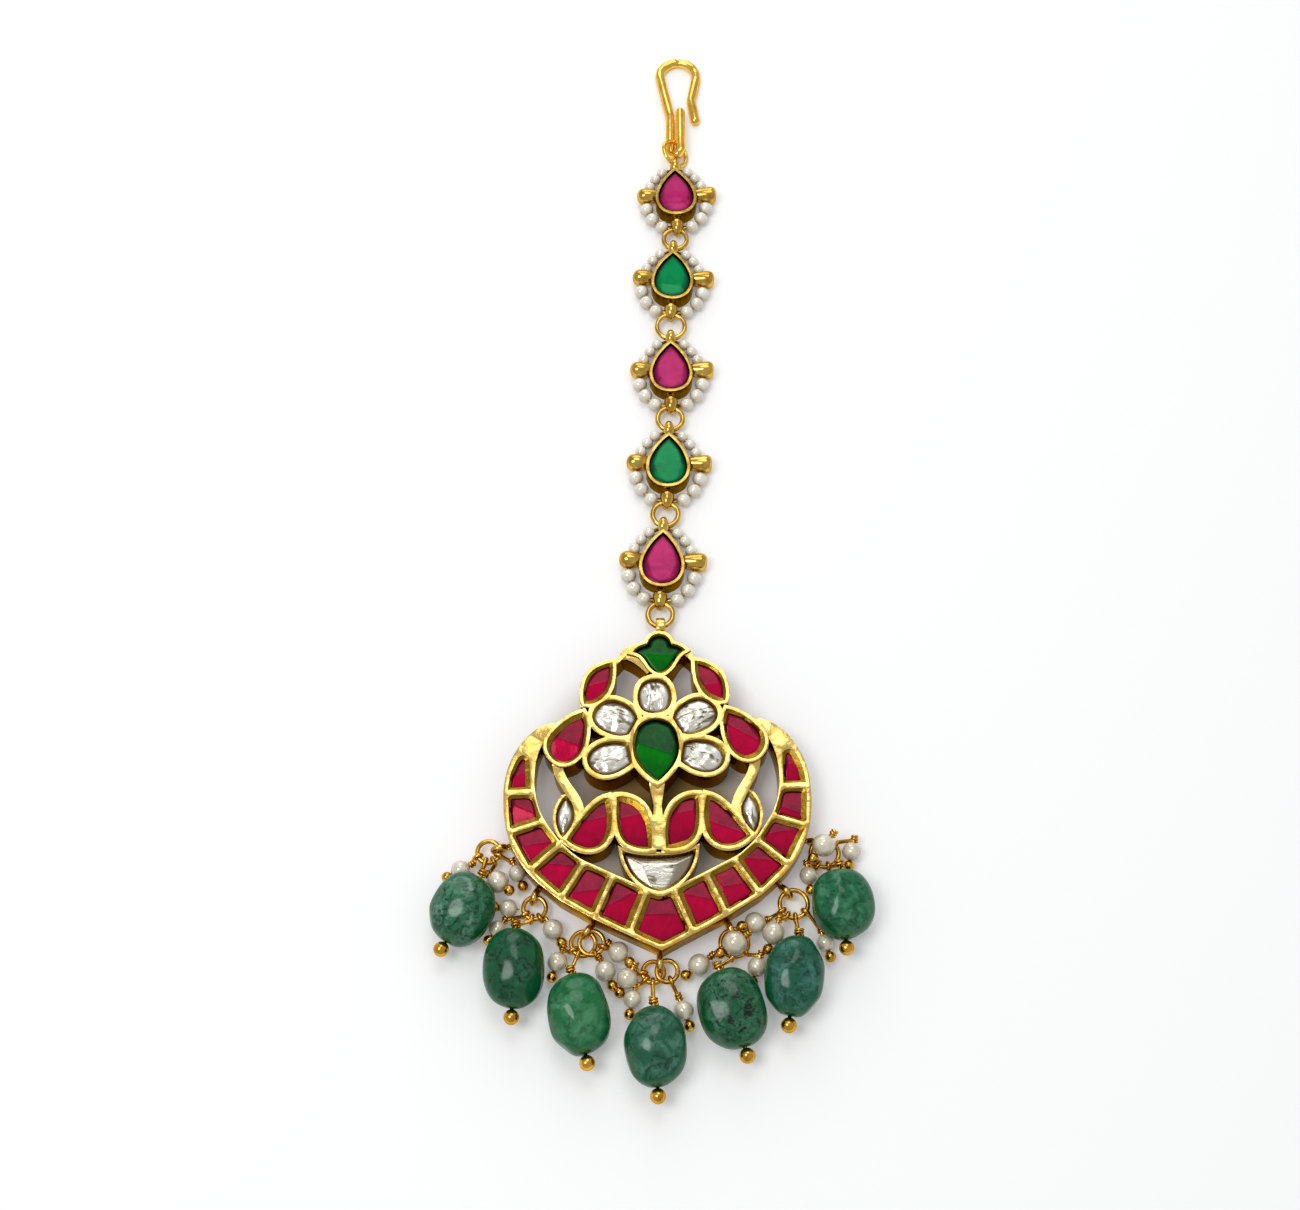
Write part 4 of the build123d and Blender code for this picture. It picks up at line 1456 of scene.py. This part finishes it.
@dataclass
class Pendant:
    """The crescent pendant: its gold and all its stones."""

    worked: HandWork = HandWork(rounding=0.2, unevenness=0.05, fitting_growth=0.16,
                                fitting_clear=0.18)
    # Its wall colour is painted shade on the sideways surfaces of rims and walls.
    gold: Gold = Gold("pendant_gold", (0.95, 0.83, 0.50), (0.80, 0.62, 0.28),
                      wall=(0.50, 0.31, 0.06), roughness=(0.12, 0.26), dent_size=1.1, dents=1.0,
                      grain=0.06, depth=0.045)
    # The foil's colours are darkened as painted shade on the sunken ledges round the stones; its
    # wall colour is painted shade on their sides.
    foil: Gold = Gold("foil_gold", (0.66, 0.52, 0.17), (0.44, 0.31, 0.07),
                      wall=(0.36, 0.24, 0.05), dent_size=0.6, depth=0.05)
    # Glow, body and edge: painted light on lit facets, painted shade on shaded facets, painted
    # shade near the edge.
    ruby: FoiledStone = FoiledStone("ruby", (0.74, 0.005, 0.23), (0.43, 0.015, 0.155),
                                    (0.30, 0.01, 0.09))
    emerald: FoiledStone = FoiledStone("emerald", (0.01, 0.46, 0.05), (0.01, 0.20, 0.09),
                                       (0.005, 0.11, 0.045))
    # Pale and shade: colours of painted reflections, and of painted shade on side facets.
    polki: Polki = Polki("polki", (0.92, 0.91, 0.86), (0.60, 0.55, 0.45))
    band: FoilBand = FoilBand()
    thin_band: FoilBand = FoilBand(share=0.35)
    seed_step: int = 17

    def build(self) -> None:
        """Build the gold and set the stones."""
        self.worked.soften("pendant_frame", self.gold.material(), "pendant_gold")
        foil = self.foil.material()
        finishes = {"ruby": self.ruby.material(), "emerald": self.emerald.material(),
                    "polki": self.polki.material()}
        for number, node in enumerate(sorted(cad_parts)):
            chosen = self.stones_of(node)
            if chosen:
                slot, cut = chosen
                self.press_foil(node, slot, foil, number)
                self.set_stones(node, slot, finishes[slot], cut, number)

    @staticmethod
    def stones_of(node: str) -> tuple[str, StoneCut] | None:
        """The kind of stone and the cut that a node has, if it is of the pendant's stones.

        Args:
            node: The node.

        Returns:
            The record's material slot and the cut, or None for any other node.
        """
        kinds = (("top_emerald", "emerald", StoneCut.CROWN),
                 ("centre_emerald", "emerald", StoneCut.PEAR),
                 ("fan_polki", "polki", StoneCut.FAN), ("petal_polki", "polki", StoneCut.POLKI),
                 ("leaf_polki", "polki", StoneCut.POLKI), ("side_ruby", "ruby", StoneCut.PEAR),
                 ("upper_ruby", "ruby", StoneCut.BLOCK),
                 ("lotus_rubies", "ruby", StoneCut.LEAF),
                 ("crescent_rubies", "ruby", StoneCut.BLOCK))
        return next(((slot, cut) for start, slot, cut in kinds if node.startswith(start)), None)

    def press_foil(self, node: str, slot: str, material: bpy.types.Material,
                   seed: int) -> None:
        """Press the foil round every stone of a node, as one piece.

        Args:
            node: The node.
            slot: The slot of its stones.
            material: The foil's finish.
            seed: A number that makes the node's foil its own.
        """
        band = self.band if slot == "ruby" else self.thin_band
        shape = Shape()
        for index, solid in enumerate(solids_of(node)):
            shape.take(band.press(solid, seed * self.seed_step + index))
        settle(shape.object("foil_" + node, material, 60.0), "pendant_gold")

    def set_stones(self, node: str, slot: str, material: bpy.types.Material, cut: StoneCut,
                   seed: int) -> None:
        """Cut every stone of a node and set them as one piece.

        Args:
            node: The node.
            slot: The slot of its stones.
            material: Their finish.
            cut: Their cut.
            seed: A number that makes the node's stones their own.
        """
        shape = Shape()
        for index, solid in enumerate(solids_of(node)):
            shape.take(cut_stone(solid, cut.value, seed * self.seed_step + index))
        settle(shape.object("cut_" + node, material, 50.0), slot, node)


# ---- links --------------------------------------------------------------------------------

class BossProfile(Enum):
    """Outlines of the caps over a link's bosses: distance back from the tip, and radius."""

    BALL = ((3.0, 0.9), (2.6, 0.98), (2.1, 1.1), (1.6, 1.2), (1.1, 1.24), (0.7, 1.2),
            (0.35, 1.08), (0.08, 0.88), (-0.1, 0.62), (-0.19, 0.34), (-0.22, 0.1))
    BARREL = ((3.0, 0.86), (2.4, 0.99), (1.8, 1.12), (1.2, 1.22), (0.7, 1.29), (0.3, 1.3),
              (-0.05, 1.22), (-0.28, 1.04), (-0.42, 0.76), (-0.49, 0.42), (-0.51, 0.12))

    def turned(self, tip: Vector, out: Vector, around: int = 40) -> Shape:
        """Turn the outline about the boss.

        Args:
            tip: The place of the boss's tip.
            out: The way that it points.
            around: Points round it.

        Returns:
            The cap's shape.
        """
        uneven_size, uneven = 2.0 * MM, 0.04 * MM
        aside, third = square_to(out)
        rings = []
        for back, radius in self.value:
            ring = []
            for k in range(around):
                turn = 2 * pi * k / around
                spot = tip + ((aside * cos(turn) + third * sin(turn)) * radius
                              - out * back) * MM
                spot += wobble(spot, uneven_size, uneven)
                ring.append((spot.x, spot.y, max(spot.z, 0.0)))
            rings.append(np.array(ring))
        shape = Shape()
        shape.rings(rings)
        return shape


@dataclass(frozen=True)
class Bulb:
    """A wire bent over a link's eye. Sizes are in millimetres, angles in degrees.

    It is thick by the collet and thinner where the ring hangs. Its side is 1 towards the hook
    and -1 towards the pendant.
    """

    side: int
    length: float
    radius: float
    level: float = 1.25
    start: float = -60.0
    sweep: float = 210.0
    thinnest: float = 0.5
    steps: int = 24

    def bend(self, middle: np.ndarray, out: np.ndarray,
             end: float) -> tuple[list[Vector], list[float]]:
        """Bend the wire.

        Args:
            middle: The middle of the link's stone.
            out: The way from it to the eye.
            end: How far the eye's end is from it.

        Returns:
            Places along the wire's middle, and its radius at each.
        """
        level, half = self.level * MM, self.length / 2 * MM
        centre = Vector((*(middle + out * (end - half))[:2], level))
        path, radii = [], []
        for k in range(self.steps + 1):
            share = k / self.steps
            turn = radians(self.start + self.sweep * share)
            growth = (1 - self.thinnest) * sin(pi / 2 * share) ** 2
            thick = self.radius * MM * (self.thinnest + growth)
            path.append(centre + Vector(out) * ((half - thick) * cos(turn))
                        + Vector((0, 0, (level - thick) * sin(turn))))
            radii.append(thick)
        return path, radii


@dataclass
class Chain:
    """The five jewelled links, with their seed pearls, rings and the hook."""

    ring_growth: float = 0.1
    hook_growth: float = 0.2
    strap: float = 0.75
    tip_band: float = 0.15
    cover_start: float = 0.6
    cover_step: float = 0.2
    cover_radius: float = 0.8
    cover_steps: int = 12
    cover_share: float = 0.75
    eyes: tuple[Bulb, ...] = (Bulb(-1, 3.1, 1.0), Bulb(1, 2.7, 0.78))
    stone_seed: int = 40
    worked: HandWork = HandWork(rounding=0.08, unevenness=0.05, rim_depth=0.06)
    # Its wall colour is painted shade on the sideways surfaces of the collets.
    gold: Gold = Gold("link_gold", (0.76, 0.64, 0.33), (0.55, 0.42, 0.16),
                      wall=(0.50, 0.36, 0.11), roughness=(0.12, 0.3), dent_size=0.9, depth=0.04)
    boss: Gold = Gold("boss_gold", (0.92, 0.77, 0.40), (0.68, 0.51, 0.19),
                      roughness=(0.08, 0.2), dents=0.5, grain=0.1, depth=0.02)
    hook: Gold = Gold("hook_gold", (1.0, 0.87, 0.46), (0.90, 0.68, 0.26),
                      roughness=(0.06, 0.16), dents=0.4, grain=0.1, depth=0.02)
    # Glow, body and edge: painted light on lit facets, painted shade on shaded facets, painted
    # shade near the edge.
    ruby: FoiledStone = FoiledStone("link_ruby", (0.71, 0.14, 0.40), (0.44, 0.01, 0.20),
                                    (0.30, 0.01, 0.14))
    emerald: FoiledStone = FoiledStone("link_emerald", (0.01, 0.53, 0.29), (0.01, 0.29, 0.18),
                                       (0.005, 0.17, 0.10))

    # The last colour is the rim: painted shade on the pearls' sides.
    pearl: Nacre = Nacre("seed_pearl", (0.99, 0.97, 0.92), (0.93, 0.90, 0.82),
                         (0.76, 0.69, 0.58))
    pearls: PearlForm = PearlForm(around=24, squat=1.08)

    def build(self) -> None:
        """Build the links, and finish the rings and the hook."""
        gold, boss, hook = (finish.material() for finish in (self.gold, self.boss, self.hook))
        stones = (("emerald", self.emerald.material()), ("ruby", self.ruby.material()))
        pearl = self.pearl.material()
        for number in range(1, 6):
            setting = self.worked.soften(f"link_setting_{number}", gold, "link_gold")
            self.shape_fittings(number, setting, boss)
            slot, stone = stones[number % 2]
            node = f"link_stone_{number}"
            shape = cut_stone(solids_of(node)[0], StoneCut.LINK.value, number + self.stone_seed)
            settle(shape.object("cut_" + node, stone, 50.0), slot, node)
            self.pearls.string(f"link_pearls_{number}", pearl)
        for number in range(1, 6):
            thicken(f"chain_ring_{number}", boss, self.ring_growth)
        thicken("hook_ring", hook, self.ring_growth)
        thicken("hook", hook, self.hook_growth)

    def shape_fittings(self, number: int, setting: bpy.types.Object,
                       gold: bpy.types.Material) -> None:
        """Shape a link's bosses and eyes: a ball, a barrel and two bulbs of bent wire.

        Args:
            number: The link's number.
            setting: The link's finished setting, whose own fittings are tucked inside.
            gold: The finish.
        """
        stone = solids_of(f"link_stone_{number}")[0]
        plan = stone.points[:, :2] - stone.middle[:2]
        _, ways = np.linalg.eigh(np.cov(plan.T))
        across = np.array([*ways[:, 0], 0.0]) * np.sign(ways[0, 0])
        along = np.array([*ways[:, 1], 0.0]) * np.sign(ways[1, 1])
        points = np.vstack([s.points for s in solids_of(f"link_setting_{number}")])
        shape = Shape()
        covers = []
        for side, profile in ((-1, BossProfile.BALL), (1, BossProfile.BARREL)):
            reach = (points @ across) * side
            tip = Vector(points[reach > reach.max() - self.tip_band * MM].mean(0))
            shape.take(profile.turned(tip, Vector(across * side)))
            for k in range(self.cover_steps):
                back = side * (self.cover_start + self.cover_step * k) * MM
                covers.append((tip - Vector(across) * back, self.cover_radius * MM))
        aside = (points - stone.middle) @ across
        strap = points[np.abs(aside) < self.strap * MM]
        for eye in self.eyes:
            out = along * eye.side
            path, radii = eye.bend(stone.middle, out, ((strap - stone.middle) @ out).max())
            shape.take(tube(path, radii, 20))
            covers += [(spot, self.cover_share * thick) for spot, thick in zip(path, radii)]
        self.tuck(setting, covers)
        settle(shape.object(f"fittings_{number}", gold, 80.0), "link_gold")

    @staticmethod
    def tuck(setting: bpy.types.Object, covers: list[tuple[Vector, float]]) -> None:
        """Draw a setting's own bosses and eyes inside the shapes that cover them.

        Args:
            setting: The finished setting.
            covers: Places along the covers' middles, with the reach allowed round each.
        """
        farthest = 2 * MM
        marks = setting.data.attributes["fitting"].data
        for vertex in setting.data.vertices:
            if marks[vertex.index].value < 0.5:
                continue
            spot, reach = min(covers, key=lambda cover: (vertex.co - cover[0]).length)
            away = vertex.co - spot
            if reach < away.length < farthest:
                vertex.co = spot + away * (reach / away.length)


# ---- drops --------------------------------------------------------------------------------

@dataclass
class Drops:
    """The seven bead drops with their small pearls, rings and pins. Sizes are in millimetres."""

    fineness: int = 5
    fullness: float = 2.3
    shrink: float = 0.01
    lumps: float = 0.05
    lump_pitch: float = 1.1
    dimple: float = 0.05
    dimple_reach: float = 60.0
    flats: int = 16
    flatness: float = 0.985
    flat_edge: int = 40
    bead_clear: float = 0.05
    wire_growth: float = 0.09
    wrap_wire: float = 0.16
    wrap_pitch: float = 0.34
    wrap_steps: int = 18
    wrap_taper: float = 0.12
    uneven_size: float = 0.8
    unevenness: float = 0.06
    head_play: float = 0.06
    head_band: float = 0.1
    wire: Gold = Gold("wire_gold", (0.93, 0.73, 0.32), (0.68, 0.47, 0.13),
                      roughness=(0.07, 0.2), dent_size=1.2, dents=0.8, depth=0.03)
    pearl: Nacre = Nacre("pearl", (0.93, 0.90, 0.81), (0.82, 0.78, 0.67))
    pearls: PearlForm = PearlForm(around=36)
    beads: tuple[Nugget, ...] = (
        Nugget("emerald_bead_1", (0.13, 0.42, 0.28), (0.48, 0.66, 0.56), (0.02, 0.12, 0.09),
               2.0, 0.7, 0.9, 0.6),
        Nugget("emerald_bead_2", (0.03, 0.33, 0.19), (0.20, 0.48, 0.36), (0.01, 0.12, 0.07),
               2.2, 0.4, 0.9, 0.2),
        Nugget("emerald_bead_3", (0.06, 0.44, 0.24), (0.36, 0.60, 0.44), (0.02, 0.22, 0.12),
               2.8, 0.7, 0.5, 0.15),
        Nugget("emerald_bead_4", (0.10, 0.36, 0.26), (0.38, 0.58, 0.50), (0.01, 0.10, 0.08),
               2.4, 0.7, 0.7, 0.2),
        Nugget("emerald_bead_5", (0.08, 0.36, 0.22), (0.32, 0.54, 0.42), (0.01, 0.07, 0.05),
               1.6, 0.6, 1.0, 0.25),
        Nugget("emerald_bead_6", (0.07, 0.36, 0.27), (0.34, 0.55, 0.50), (0.02, 0.14, 0.12),
               2.2, 0.7, 0.7, 0.25),
        Nugget("emerald_bead_7", (0.06, 0.41, 0.25), (0.34, 0.60, 0.46), (0.02, 0.18, 0.11),
               2.2, 0.7, 0.7, 0.3))

    def build(self) -> None:
        """Build all seven."""
        wire, pearl = self.wire.material(), self.pearl.material()
        for number, finish in enumerate(self.beads, start=1):
            self.add_bead(number, finish.material())
            self.pearls.string(f"drop_pearls_{number}", pearl)
            thicken(f"drop_findings_{number}", wire, self.wire_growth)
            self.wrap_wires(number, wire)

    def wrap_wires(self, number: int, wire: bpy.types.Material) -> None:
        """Coil each pin's spare wire round its neck, over the bead and over the pearls.

        Args:
            number: The drop's number.
            wire: The finish.
        """
        metal = np.vstack([s.points for s in solids_of(f"drop_findings_{number}")])
        shape = Shape()
        for node, head, coil, turns in ((f"emerald_bead_{number}", 0.85, 0.5, 2.6),
                                        (f"drop_pearls_{number}", 0.6, 0.36, 2.2)):
            for solid in solids_of(node):
                way = solid.drill()
                half = np.abs((solid.points - solid.middle) @ way).max()
                away = half + (head + self.head_play) * MM
                out = min((way, -way), key=lambda w: self.ball_points(
                    metal, solid.middle + w * away, head))
                shape.take(self.coil(Vector(solid.middle + out * half), Vector(out), coil,
                                     turns))
        settle(shape.object(f"wraps_{number}", wire), "wire_gold")

    def ball_points(self, metal: np.ndarray, centre: np.ndarray, radius: float) -> int:
        """How many of the findings' points lie on a ball: many only if a pin's head is there."""
        away = np.linalg.norm(metal - centre, axis=1)
        return int((np.abs(away - radius * MM) < self.head_band * MM).sum())

    def coil(self, foot: Vector, out: Vector, radius: float, turns: float) -> Shape:
        """Wind a short coil.

        Args:
            foot: Where its axis starts.
            out: The way that its axis runs.
            radius: Its mid radius, in millimetres.
            turns: How many turns it has.

        Returns:
            The coil's shape.
        """
        aside, third = square_to(out)
        path = []
        steps = round(turns * self.wrap_steps)
        for k in range(steps + 1):
            turn = 2 * pi * k / self.wrap_steps
            rise = self.wrap_wire + self.wrap_pitch * turn / (2 * pi)
            narrow = radius * (1 - self.wrap_taper * k / steps)
            spot = foot + ((aside * cos(turn) + third * sin(turn)) * narrow + out * rise) * MM
            spot += wobble(spot, self.uneven_size * MM, self.unevenness * MM)
            spot.z = max(spot.z, self.wrap_wire * MM)
            path.append(spot)
        return tube(path, [self.wrap_wire * MM] * len(path))

    def add_bead(self, number: int, material: bpy.types.Material) -> None:
        """Shape one bead: an egg that was tumbled, not turned.

        Args:
            number: The bead's number.
            material: Its finish.
        """
        node = f"emerald_bead_{number}"
        solid = solids_of(node)[0]
        way, middle = Vector(solid.drill()), Vector(solid.middle)
        aside = Vector((-way.y, way.x, 0)).normalized()
        up = way.cross(aside)
        if up.z < 0:
            up.negate()
        local = (solid.points - solid.middle) @ np.array([way[:], aside[:], up[:]]).T
        half = np.abs(local).max(0)
        ball = bmesh.new()
        bmesh.ops.create_icosphere(ball, subdivisions=self.fineness, radius=1.0)
        planes = [steady_noise(Vector((number * 3.1, k * 2.7, 0.5))).normalized()
                  for k in range(self.flats)]
        power, blend = self.fullness, self.flat_edge
        for vertex in ball.verts:
            out = vertex.co.normalized()
            full = (abs(out.x) ** power + abs(out.y) ** power
                    + abs(out.z) ** power) ** (-1 / power)
            lump = noise.noise(out * self.lump_pitch + Vector((number * 5.1, 0, 0))) * self.lumps
            dimple = self.dimple * max(0.0, 1 - (1 - abs(out.x)) * self.dimple_reach) ** 2
            reach = full * (1 + lump - self.shrink - dimple)
            near = [max(out.dot(plane) * reach / self.flatness, 0.01) for plane in planes]
            reach /= (1 + sum(share ** blend for share in near)) ** (1 / blend)
            spot = out * reach
            vertex.co = (middle + way * (spot.x * half[0]) + aside * (spot.y * half[1])
                         + up * (spot.z * half[2]))
            vertex.co.z = max(vertex.co.z, self.bead_clear * MM)
        bmesh.ops.recalc_face_normals(ball, faces=ball.faces)
        mesh = bpy.data.meshes.new(f"nugget_{number}")
        ball.to_mesh(mesh)
        ball.free()
        settle(smooth_object(mesh, material), "emerald_bead", node)


# ---- all of it ----------------------------------------------------------------------------

def main() -> None:
    """Build the jewel, piece by piece, and the studio round it."""
    logging.basicConfig(level=logging.INFO, format="%(message)s")
    Pendant().build()
    Chain().build()
    Drops().build()
    Studio().build()


if __name__ == "__main__":
    main()
